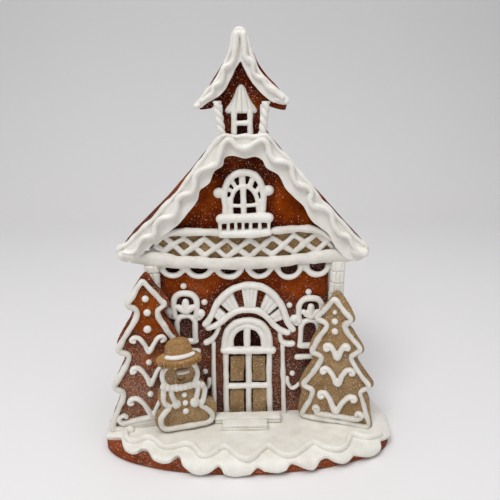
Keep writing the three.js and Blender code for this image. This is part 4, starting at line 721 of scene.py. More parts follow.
# ------------------------------------------------------------------ gable front
def build_gable():
    c = Clay()
    c.slab([(-60, 126.5), (51.4, 126.5), (51.4, 146.4), (-60, 146.0)], WALL - 0.4, WALL + 1.5)
    piece("gable_panel_dough", c, TAN, ["gable_panel"], voxel=0.7, smooth=2, uneven=((0.12, 3), (0.06, 1.1)))
    # Crossed strips, laid by hand.
    c = Clay()
    high = [(-55.7, 142.0), (-42.8, 140.6), (-29.8, 140.0), (-15.5, 139.0), (-0.8, 139.1), (13.8, 140.2), (27.7, 141.8), (42.2, 142.5), (53.6, 143.0)]
    mid = [(-62.7, 136.6), (-49.7, 136.3), (-36.5, 134.8), (-22.7, 133.7), (-8.3, 133.1), (6.4, 133.7), (20.9, 135.0), (35.1, 136.7), (49.2, 137.4)]
    low = [(-56.2, 131.6), (-43.2, 129.5), (-30.1, 128.4), (-15.6, 126.9), (-0.8, 127.2), (13.9, 128.8), (28.0, 129.8), (42.6, 130.8), (53.7, 132.4)]
    inside = lambda p: -61 < p[0] < 52.6 and 126.5 < p[1] < 144
    for k in range(9):
        # falling to the right, then rising to the right on top of it
        fall = [high[k - 1], mid[k], low[k]] if k else [(-62.7, 136.6), (-56.2, 131.6)]
        rise = [low[k - 1], mid[k], high[k]] if k else [(-62.7, 136.6), (-55.7, 142.0)]
        for lift, pts in ((0.0, fall), (0.6, rise)):
            pts = [q for q in curve(pts, 0.9) if inside(q)]
            if len(pts) > 4:
                c.stroke(np.array(pts), [3.6, 3.8, 3.7][k % 3], WALL + 4.0 + lift, 3.1, smooth=False, step=0.9, wobble=0.10)
    c.stroke([(-52.8, 144.0), (-46.2, 144.7), (-36.2, 144.9), (-28.7, 144.6), (-21.2, 144.3)], [4.6, 5.3, 5.0, 5.4, 4.8], WALL + 6.7, 5.2, wobble=0.06)
    c.stroke([(14.8, 145.1), (22.4, 145.8), (32.5, 146.4), (41.0, 145.6), (46.4, 143.2), (51, 139.6)], [4.6, 5.1, 4.9, 5.1, 4.0, 3.0], WALL + 6.5, 5.0, wobble=0.06)
    c.stroke([(-52.4, 143.9), (-56.0, 142.0), (-59.6, 138.8)], [4.2, 3.0], WALL + 5.2, 4.0)
    piece("lattice_icing", c, GRIT, ["lattice", "lattice_rail_left", "lattice_rail_right"], voxel=0.36, smooth=1, uneven=((0.10, 2.6), (0.07, 1.1)))

    c = Clay()
    over = np.array([(-80, 131.6), (-74, 132.4), (-67.6, 132.3), (-58.5, 131.7), (-48.5, 128.8), (-41.8, 129.2), (-31.7, 127.9), (-24.9, 127.1), (-16.4, 127.3), (-8.0, 127.9), (0.5, 127.7), (9.9, 127.6), (20.1, 128.1), (28.7, 129.4), (38.0, 130.2), (45.7, 131.9), (55.0, 132.9), (62, 132.2), (70, 132)])
    under = np.array([(-80, 126.6), (-69.9, 123.4), (-63.2, 122.2), (-55.6, 121.9), (-48.9, 120.9), (-40.4, 121.2), (-25.1, 120.1), (-12.3, 119.5), (0.6, 119.3), (13.4, 120.5), (26.3, 121.7), (39.1, 123.0), (52.0, 123.7), (62.4, 124.0), (70, 126.4)])
    x = np.linspace(-74.5, 64.5, 60)
    t, b = np.interp(x, over[:, 0], over[:, 1]), np.interp(x, under[:, 0], under[:, 1])
    c.stroke(np.column_stack([x, (t + b) / 2]), t - b + 0.3, [20.0, 20.6, 20.9, 20.6, 20.8, 20.5, 20.8, 20.6, 20.9, 20.6, 20.2], 7.0, sides=20, wobble=0.03, step=1.2)
    piece("beam_icing", c, GRIT, ["beam"], voxel=0.45, smooth=2, uneven=((0.26, 3.6), (0.13, 1.5)))

    c = Clay()
    # painted shade: dark sheets in the scallop hollows, where the beam's shadow falls on the wall
    dark, red = Clay(), Clay()
    for i, (cx, rx, zb) in enumerate(((-50.8, 6.6, 114.9), (-33.5, 7.7, 114.2), (-14.2, 7.7, 113.6), (5.8, 7.1, 113.8), (25.2, 7.55, 112.9), (43.7, 6.9, 114.6))):
        c.stroke(arc(cx, 120.4, rx, 120.4 - zb, 176, 364, 22), 3.8, WALL + 4.9, 4.2, wobble=0.06)
        c.stroke([(cx - rx - 1.2, 121.5), (cx - rx - 0.6, 118.2)], 3.0, WALL + 4.2, 3.8)
        c.stroke([(cx + rx + 1.2, 121.5), (cx + rx + 0.6, 118.2)], 3.0, WALL + 4.2, 3.8)
        (dark if i < 3 else red).slab(arc(cx, 121.5, rx, 121.5 - zb, 180, 360, 20), WALL - 0.3, WALL + 0.5)
    c.stroke([(-58, 122.6), (-20, 121.8), (20, 122.4), (50, 124)], 2.4, WALL + 3.6, 3.6)
    piece("scallop_icing", c, ICING, ["scallops"], voxel=0.4, smooth=2)
    piece("scallop_shade_left", dark, SHADE_DARK, [], voxel=0.5, smooth=2)
    piece("scallop_shade_right", red, SHADE_GLITTERY, [], voxel=0.5, smooth=2)


def build_attic():
    put = lambda q: wall(np.asarray(q) - [0, 0.6, 0])
    c = Clay()
    z0 = 156
    outer = [(-15.9, z0), (-16.1, 162), (-16.6, 168), (-15.5, 174.2), (-13.4, 178.6), (-9.2, 182.0), (-4.0, 183.1), (1.2, 182.0), (5.0, 178.7), (6.9, 174.4), (8.2, 168), (7.8, 162), (7.5, z0)]
    c.stroke(outer, [3.8, 4.0, 4.2, 4.4, 4.4, 4.3, 4.1, 3.8], WALL + 5.2, 4.6, put=put)
    inner = [(-12.2, z0), (-12.3, 162), (-11.6, 168), (-9.7, 172.0), (-6.8, 174.0), (-4.0, 174.5), (-1.2, 173.8), (1.8, 171.2), (3.9, 166.8), (4.7, 161.6), (4.6, z0)]
    c.stroke(inner, [2.8, 2.9, 2.9, 2.9, 3.0, 2.9, 2.8], WALL + 4.5, 3.8, put=put)
    c.stroke([(6.1, z0), (6.2, 161), (6.0, 165)], 2.2, WALL + 4.2, 3.4, put=put)
    c.stroke([(-14.2, z0), (-14.3, 160), (-14.3, 163)], 1.8, WALL + 3.9, 3.2, put=put)
    # wedges between the two arches
    for a, b, w in (((-12.1, 171.5), (-15.0, 173.0), 3.0), ((-9.6, 174.2), (-11.8, 178.0), 3.2), ((-5.1, 175.6), (-5.4, 181.0), 4.0), ((-0.4, 174.6), (1.2, 178.8), 3.4), ((3.6, 170.8), (5.4, 173.9), 2.7), ((-13.6, 167), (-14.2, 164), 1.4)):
        c.stroke([a, b], w, WALL + 3.9, 3.4, put=put)
    c.stroke([(-4.3, 156), (-4.5, 165), (-4.6, 174)], 3.9, WALL + 4.8, 3.9, put=put)
    c.stroke([(-12, 162.2), (-4.3, 161.9), (4.6, 162.7)], 2.5, WALL + 4.5, 3.4, put=put)
    c.bead(-20.1, 170.2, 3.35, WALL + 5.3, 5.4, put=put)
    c.bead(11.3, 171.7, 3.4, WALL + 5.4, 5.4, put=put)
    piece("attic_window_icing", c, ICING, ["attic_window"], voxel=0.34, smooth=2, uneven=((0.08, 2.6), (0.05, 1.1)))
    c = Clay()
    # painted shade: a dark sheet behind the attic window, where the gaps in the icing show shadow
    c.slab(curve([(-14.6, 155.5), (-15.0, 168), (-12.6, 176.4), (-4.2, 181.2), (4.6, 176.8), (7, 168), (6.6, 155.5)], 1.0, closed=True), WALL - 0.3, WALL + 0.7)
    piece("attic_panes", c, SHADE_DARK, [], voxel=0.5, smooth=2)

    c = Clay()
    c.stroke([(-19.0, 153.6), (-12, 154.0), (-4, 154.0), (4, 154.4), (11.4, 154.2)], [5.8, 6.2, 5.8, 6.2, 6.4, 6.0], 21.6, 6.6, sides=18)
    c.stroke([(-18.6, 143.5), (-10, 143.7), (-2, 143.9), (6, 144.1), (11.4, 144.4)], [5.2, 5.6, 5.4, 5.7, 5.8, 5.2], 21.0, 6.4, sides=18)
    for x in (-19.4, -14.1, -9.5, -4.9, -0.1, 5.6, 11.4):
        c.stroke([(x, 145.6), (x, 152.2)], 2.2, 20.2, 2.8)
    c.slab([(-19, 142.5), (12, 142.5), (12, 146.7), (-19, 145.9)], WALL - 0.3, 17)
    c.slab([(-19.4, 151.6), (12, 151.6), (12, 155.6), (-19.4, 155.6)], WALL - 0.3, 18)
    piece("balcony_icing", c, ICING, ["attic_balcony"], voxel=0.38, smooth=3, uneven=((0.10, 2.6), (0.06, 1.1)))


# ------------------------------------------------------------------ columns
def column(name, cx, cy, z0, z1, node, half=4.95):
    """A corner pillar scored like small brickwork: upright and level grooves."""
    c = Clay()
    pitch = 8.1
    levels = [z0 + 4.4 + i * pitch for i in range(40) if z0 + 4.4 + i * pitch < z1 - 2]
    zs = {z0, z1, z0 + 0.4, z1 - 0.4}
    for l in levels:
        for d in (-1.6, -0.95, -0.65, -0.45, -0.28, -0.12, 0.02, 0.14, 0.3, 0.47, 0.66, 0.95, 1.6, 4.0):
            if z0 + 0.5 < l + d < z1 - 0.5:
                zs.add(round(l + d, 3))
    zs = sorted(zs)

    def shape(a, r, z):
        ca, sa = abs(math.cos(a)), abs(math.sin(a))
        q = half / (ca ** 2.7 + sa ** 2.7) ** (1 / 2.7)
        near = min([abs(z - l - 0.25 * math.sin(3 * a + l)) for l in levels] or [9])
        g = 1.05 * math.exp(-(near / 0.36) ** 2)
        x = q * math.cos(a)
        y = q * math.sin(a)
        for t in (-2.05, 1.75):
            # upright cuts shift a little from course to course
            course = math.floor((z - z0 - 4.4) / pitch)
            wander = t + 0.45 * math.sin(course * 2.4 + t)
            if sa > ca * 0.8:
                g = max(g, 0.95 * math.exp(-((x - wander) / 0.30) ** 2))
            elif ca > sa * 0.8:
                g = max(g, 0.95 * math.exp(-((y - wander) / 0.30) ** 2))
        edge = 0.5 if z in (z0, z1) else 0.1 if z in (z0 + 0.4, z1 - 0.4) else 0
        return q - g - edge + 0.12 * math.sin(z / 7 + cx) + 0.09 * math.sin(a * 2 + z / 4.3)

    c.lathe([(half, z) for z in zs], cx, cy, 192, shape)
    piece(name, c, ICING, [node])


# ------------------------------------------------------------------ door, posts, arch
def build_door():
    c = Clay()
    # painted shade: a dark sheet behind the door panes and the fanlight, showing in the gaps where shadow lies
    c.slab([(-16.4, 8.4), (13.4, 8.4), (12.8, 58), (-16.4, 58)], WALL - 0.4, WALL + 0.5)
    c.slab(curve([(-13.0, 61.0), (-12.2, 69.0), (-8.0, 76.6), (-2.2, 78.6), (4.0, 76.2), (8.2, 68.4), (8.6, 61.0)], 1.0, closed=True), WALL - 0.4, WALL + 0.6)
    piece("door_back", c, SHADE_DARK, [], voxel=0.6, smooth=2)
    c = Clay()
    for quad in (((-13.9, 54.4), (-4.1, 54.5), (-4.6, 35.3), (-14.2, 34.7)), ((1.5, 54.5), (10.7, 54.3), (10.6, 34.7), (1.3, 34.9)), ((-14.5, 27.9), (-4.6, 28.0), (-4.3, 9.0), (-14.7, 9.2)), ((1.5, 28.2), (11.4, 28.5), (11.7, 8.8), (1.5, 9.0))):
        c.slab(np.array(quad), WALL - 0.4, WALL + 2.0)
    piece("door_panes", c, TAN, ["door_leaf"], voxel=0.4, smooth=3, uneven=((0.14, 2.6), (0.08, 0.9)))

    c = Clay()
    c.stroke([(-17.1, 8.6), (-17.2, 30), (-17.0, 57)], [4.2, 4.0, 4.1], WALL + 4.6, 4.4)
    c.stroke([(14.0, 8.6), (13.6, 20), (13.1, 34), (12.9, 57)], [4.4, 4.1, 4.1, 4.2], WALL + 4.6, 4.4)
    c.stroke([(-1.3, 8.6), (-1.3, 32), (-1.2, 57)], [4.1, 4.2, 4.4], WALL + 4.3, 4.2)
    c.stroke([(-16.2, 31.3), (-8, 31.3), (-1, 31.5), (6, 31.6), (12.8, 31.4)], [4.1, 4.2, 4.5, 4.1, 3.9], WALL + 4.5, 4.2)
    c.stroke([(-18.2, 60.2), (-8, 60.0), (4, 59.8), (14.9, 59.5)], [5.2, 5.4, 5.2, 5.5], WALL + 6.4, 6.4, sides=18)
    piece("door_icing", c, ICING, ["door_frame"], voxel=0.4, smooth=2, uneven=((0.09, 2.8), (0.05, 1.2)))

    c = Clay()
    foot = 61.6
    put = lambda q: wall(np.asarray(q) - [0, 0.9, 0])
    c.stroke([(-17.9, foot), (-17.4, 69.5), (-15.4, 75.4), (-11.2, 80.3), (-5.6, 82.7), (-1.8, 83.0), (2.2, 82.4), (7.6, 79.8), (11.0, 75.2), (12.9, 69.4), (13.3, foot)], [4.5, 4.4, 4.5, 4.6, 4.5, 4.4, 4.5], WALL + 5.1, 5.0, put=put)
    c.stroke([(-13.5, foot), (-13.2, 69.0), (-11.4, 73.8), (-8.0, 77.3), (-3.8, 78.8), (0.2, 78.5), (4.2, 76.4), (7.4, 72.6), (9.0, 68.4), (9.2, foot)], [4.0, 4.1, 4.2, 4.2, 4.1, 4.0], WALL + 4.7, 4.4, put=put)
    c.stroke([(-2.5, foot), (-2.4, 70), (-2.3, 77.5)], [4.8, 4.7, 4.8], WALL + 4.7, 4.2, put=put)
    piece("fanlight_icing", c, ICING, ["door_fanlight"], voxel=0.36, smooth=2, uneven=((0.08, 2.6), (0.05, 1.1)))

    for name, node, post, curl in (("post_left_icing", "door_post_left", [(-25.2, 65.4), (-25.5, 55.8), (-25.7, 38.8), (-25.8, 25.8), (-25.9, 8.6)], [(-21.7, 76.9), (-22.8, 73.8), (-24.3, 70.7), (-27.2, 67.6), (-30.3, 65.9)]),
                                   ("post_right_icing", "door_post_right", [(22.0, 63), (22.4, 52), (22.9, 38), (23.5, 22), (24.1, 8.6)], [(20.0, 74.0), (20.3, 69.0), (21.7, 65.6), (24.9, 64.1), (28.6, 64.0)])):
        c = Clay()
        c.stroke(post, [3.0, 3.4, 3.3, 3.3], WALL + 3.9, 3.9)
        c.stroke(curl, [3.4, 3.7, 4.0, 4.2], WALL + 4.8, 4.6)
        piece(name, c, ICING, [node], voxel=0.38, smooth=2)


def build_arch():
    c = Clay()
    outer = [(-30.6, 80.0), (-28.4, 82.3), (-26.2, 86.3), (-22.9, 93.6), (-17.6, 100.7), (-11.4, 105.3), (-4.8, 107.4), (1.8, 107.4), (8.4, 105.8), (14.0, 101.9), (19.4, 94.9), (22.9, 87.0), (25.1, 80.8), (28.6, 75.2)]
    c.stroke(outer, [4.3, 4.7, 4.7, 4.8, 4.9, 4.9, 4.8, 4.7, 4.4], WALL + 6.0, 5.6)
    inner = [(-28.9, 77.1), (-24.6, 78.4), (-20.7, 80.9), (-15.5, 85.4), (-10.5, 88.8), (-4.9, 90.0), (1.8, 89.8), (6.3, 88.4), (10.8, 84.9), (15.4, 79.1), (20.0, 74.8), (25.2, 72.6)]
    c.stroke(inner, [4.3, 4.3, 4.3, 4.4, 4.5, 4.4, 4.3, 4.4, 4.4], WALL + 5.7, 5.2)
    piece("arch_icing", c, ICING, [], voxel=0.38, smooth=2, uneven=((0.09, 2.8), (0.05, 1.2)))
    c = Clay()
    top = WALL + 4.2
    c.fluted([(-6.2, 106.2), (5.0, 106.2), (3.1, 91.2), (-4.0, 91.4)], 3, WALL - 0.3, top + 0.3, depth=0.8)
    c.fluted([(-20.0, 94.2), (-12.4, 103.4), (-7.6, 91.4), (-14.4, 88.6)], 2, WALL - 0.3, top, depth=0.75)
    c.fluted([(10.4, 102.0), (18.8, 93.0), (12.0, 86.4), (6.6, 91.4)], 2, WALL - 0.3, top, depth=0.75)
    c.fluted([(-24.9, 85.6), (-21.4, 92.0), (-16.6, 87.0), (-21.9, 81.9)], 1, WALL - 0.3, top - 0.2, depth=0.6)
    c.fluted([(19.2, 90.2), (22.0, 82.6), (16.2, 80.2), (12.8, 85.4)], 1, WALL - 0.3, top - 0.2, depth=0.6)
    piece("arch_blocks", c, ICING, ["porch_arch"])


# ------------------------------------------------------------------ windows on the wall
def window(c, cx, foot, put=wall, out=WALL, knobs=((-11.2, 24.2), (10.1, 22.7))):
    """A piped window: an arched head over a frame with an arched top, and a fat three-petal flower in the head."""
    f = lambda pts: [(cx + u, foot + v) for u, v in pts]
    c.stroke(f([(-7.4, 20.6), (-8.0, 27.0), (-7.4, 33.0), (-4.6, 36.5), (0, 37.3), (4.6, 36.4), (7.3, 33.0), (7.6, 27.0), (6.9, 20.6)]), [3.9, 4.0, 4.0, 4.1, 4.0, 4.0, 3.9], out + 4.7, 4.5, put=put)
    c.stroke(f([(-6.3, 2.0), (-6.1, 11.7), (-5.9, 16.7), (-3.6, 20.2), (-0.1, 21.1), (3.4, 20.1), (5.8, 16.6), (5.9, 11.5), (6.0, 2.0)]), [3.9, 3.7, 3.7, 3.7, 3.7, 3.7, 3.9], out + 4.3, 4.2, put=put)
    c.stroke(f([(-6.4, 2.2), (0, 1.9), (6.2, 2.2)]), 4.3, out + 4.4, 4.4, put=put)
    for pts, w in (([(0, 24.0), (0.1, 29.0), (0.2, 31.2)], [3.0, 5.3, 4.6]), ([(-0.6, 23.8), (-4.6, 27.6)], [2.8, 4.7, 3.8]), ([(0.6, 23.8), (4.6, 27.4)], [2.8, 4.7, 3.8])):
        c.stroke(f(pts), w, out + 4.8, 4.0, put=put)
    for u, v in knobs:
        c.bead(cx + u, foot + v, 3.0, out + 5.2, 5.2, put=put)
        s = 1 if u < 0 else -1
        c.stroke(f([(u - s * 0.6, v - 1.0), (u + s * 0.4, v - 3.2), (u + s * 2.0, v - 4.2)]), [3.2, 2.6], out + 3.9, 3.6, put=put)


def build_windows():
    for name, node, cx, foot, knobs in (("window_left_icing", "window_left", -43.5, 64.9, ((-11.2, 24.2), (10.1, 22.8))), ("window_right_icing", "window_right", 40.5, 60.2, ((-11.0, 22.4),))):
        c = Clay()
        window(c, cx, foot, knobs=knobs)
        piece(name, c, ICING, [node], voxel=0.36, smooth=2, uneven=((0.08, 2.6), (0.05, 1.1)))
        c = Clay()
        # painted shade: darker glittery dough inside the window frames, where the wall lies in shadow
        c.slab([(cx - 5.4, foot + 2), (cx + 5.4, foot + 2), (cx + 5.2, foot + 18), (cx, foot + 21), (cx - 5.2, foot + 18)], WALL - 0.3, WALL + 1.1)
        c.slab(curve([(cx - 7, foot + 22), (cx - 6.8, foot + 32), (cx, foot + 36.6), (cx + 6.8, foot + 32), (cx + 6.6, foot + 22)], 1.0, closed=True), WALL - 0.3, WALL + 0.6)
        piece(node + "_pane", c, SHADE_GLITTERY, [], voxel=0.5, smooth=2)
    for name, node, x0, x1, z in (("sill_left_icing", "window_sill_left", -51.4, -36.2, 58.9), ("sill_right_icing", "window_sill_right", 32.6, 47.6, 53.3)):
        c = Clay()
        c.stroke([(x0, z), ((x0 + x1) / 2, z + 0.2), (x1, z)], 4.2, WALL + 4.2, 4.2)
        piece(name, c, ICING, [node], voxel=0.4, smooth=3)
    for name, node, x, side in (("window_side_left_icing", "window_side_left", -60.6, -1), ("window_side_right_icing", "window_side_right", 52.0, 1)):
        put = (lambda p, x=x, side=side: np.column_stack([x + side * np.asarray(p)[:, 2], 1.5 + side * np.asarray(p)[:, 0], np.asarray(p)[:, 1]]))
        c = Clay()
        window(c, 0, 62, put=put, out=-0.3, knobs=())
        c.stroke([(-7, 57), (7, 57)], 4.2, 3.6, 4.2, put=put)
        c.stroke([(0, 58), (0, 62)], 3.6, 2.6, 3.4, put=put)
        piece(name, c, ICING, [node], voxel=0.45, smooth=3)
    c = Clay()
    c.stroke([(-28.8, 36.2), (-29.1, 34.4), (-29.7, 31.6), (-31.2, 29.5), (-33.8, 29.2), (-37.6, 29.6), (-42, 33.0), (-47, 33.4)], 3.1, WALL + 3.0, 3.4)
    piece("wave_left_icing", c, ICING, ["wall_wave_left"], voxel=0.4, smooth=3)
    c = Clay()
    c.stroke([(25.7, 36.2), (26.0, 34.4), (27.2, 30.8), (29.6, 28.0), (32.4, 29.2), (34.6, 31.4), (38, 32.4), (42, 29.8), (46, 29.4)], 3.1, WALL + 3.0, 3.4)
    piece("wave_right_icing", c, ICING, ["wall_wave_right"], voxel=0.4, smooth=3)
    # small dots dropped on the wall round the windows and the door
    c = Clay()
    for x, z, r in ((-30.9, 94.8, 2.15), (26.3, 91.7, 2.05), (-31.7, 42.1, 2.0), (29.6, 39.4, 2.0), (39.0, 101.2, 2.15), (-44.5, 106.6, 2.15)):
        c.bead(x, z, r, WALL + 2.2, 3.6, plain=True)
    piece("wall_dots", c, ICING, [])


def build_steps():
    for name, node, x0, x1, back, front, z0, z1 in (("step_upper_icing", "step_upper", -25.0, 20.7, -19.3, -26.9, 7.7, 13.1), ("step_lower_icing", "step_lower", -19.9, 11.0, -27.1, -35.0, 7.7, 13.0)):
        c = Clay()
        foot, groove = 8.85, z1 - 2.2
        prof = [(back, z0), (back, z1 - 0.3), (back - 0.3, z1 - 0.05)]
        prof += [(y, z1) for y in np.linspace(back - 0.9, front + 1.5, 8)]
        for hi, lo, r in ((z1, groove + 0.16, 0.0), (groove - 0.16, foot, 0.1)):
            for k in range(1, 12):
                a = math.pi * k / 12
                prof.append((front + r + 0.7 * (1 - math.sin(a) ** 0.5), (hi + lo) / 2 + (hi - lo) / 2 * math.cos(a)))
            prof.append((front + 1.5, lo + 0.02))
            if hi == z1:
                prof.append((front + 1.5, groove - 0.18))
        prof.append((front + 1.7, z0))
        n = len(prof)
        xs = np.concatenate([[x0 + 0.9, x0 + 0.35, x0 + 0.08, x0], np.arange(x0 + 0.7, x1 - 0.5, 0.8), [x1, x1 - 0.08, x1 - 0.35, x1 - 0.9]])
        verts = []
        m = len(xs)
        for i, x in enumerate(xs):
            k_end = min(i, m - 1 - i)
            tuck = (0.9, 0.4, 0.12, 0.0)[k_end] if k_end < 4 else 0.0
            for y, z in prof:
                w = 0.12 * math.sin(x / 3.1 + z) + 0.07 * math.sin(x / 1.3 + y)
                cy, cz = (back + front) / 2, (z0 + z1) / 2
                yy = cy + (y - cy) * (1 - tuck / 4.6) + (w if abs(y - front) < 1.8 else 0)
                zz = cz + (z - cz) * (1 - tuck * 0.36) + (0.14 * math.sin(x / 2.7 + y / 2.2) + 0.08 * math.sin(x / 1.1 - y) if z > z1 - 0.2 else 0)
                verts.append((x, yy, zz))
        faces = []
        for i in range(m - 1):
            for k in range(n):
                l = (k + 1) % n
                faces.append((i * n + k, i * n + l, (i + 1) * n + l, (i + 1) * n + k))
        faces.append(tuple(range(n))[::-1])
        faces.append(tuple(range((m - 1) * n, m * n)))
        c.add(verts, faces, plain=True)
        piece(name, c, SNOW, [node])


# ------------------------------------------------------------------ trees
def swag(c, points, put, width=3.3, top=2.9):
    """A V of piping whose arms rise, arch over outwards and close into tight spirals."""
    c.stroke(points, [width * 0.8, width, width, width * 1.06, width, width, width * 0.8], top, width * 1.1, put=put, sides=12, step=0.7, wobble=0.05)
    for end, nxt in ((points[0], points[2]), (points[-1], points[-3])):
        c.bead(end[0], end[1], 1.3, top - 0.35, 2.6, put=put)


def build_tree(name, at, cookie, outline, dots, swags, curls, mat, nodes, thick=4.9, width=3.6, wide=(3.3, 3.3, 3.3)):
    put = standing(at[0], at[1], 10.3, at[2], at[3])
    c = Clay()
    c.slab(curve(cookie, 1.0, closed=True), -thick, -0.2, put=put)
    piece(name + "_biscuit", c, mat, [nodes], voxel=0.65, smooth=3, uneven=((0.14, 5), (0.08, 1.8)))
    c = Clay()
    c.stroke(outline, width, 2.6, 4.0, put=put, closed=True, wobble=0.07, step=0.8)
    for pts, w in curls:
        c.stroke(pts, w, 3.0, 4.2, put=put, wobble=0.07)
    piece(name + "_outline_icing", c, GRIT, [nodes + "_outline"], voxel=0.4, smooth=2, uneven=((0.10, 2.6), (0.07, 1.1)))
    for i, s in enumerate(swags):
        c = Clay()
        swag(c, s, put, wide[i])
        piece(f"{name}_swag_{i + 1}_icing", c, ICING, [f"{nodes}_swag_{i + 1}"], voxel=0.34, smooth=2, uneven=((0.07, 2.2), (0.05, 1.0)))
    c = Clay()
    for u, v, r in dots:
        c.bead(u, v, r, 2.2, 3.6, put=put, plain=True)
    piece(name + "_dots", c, ICING, [])


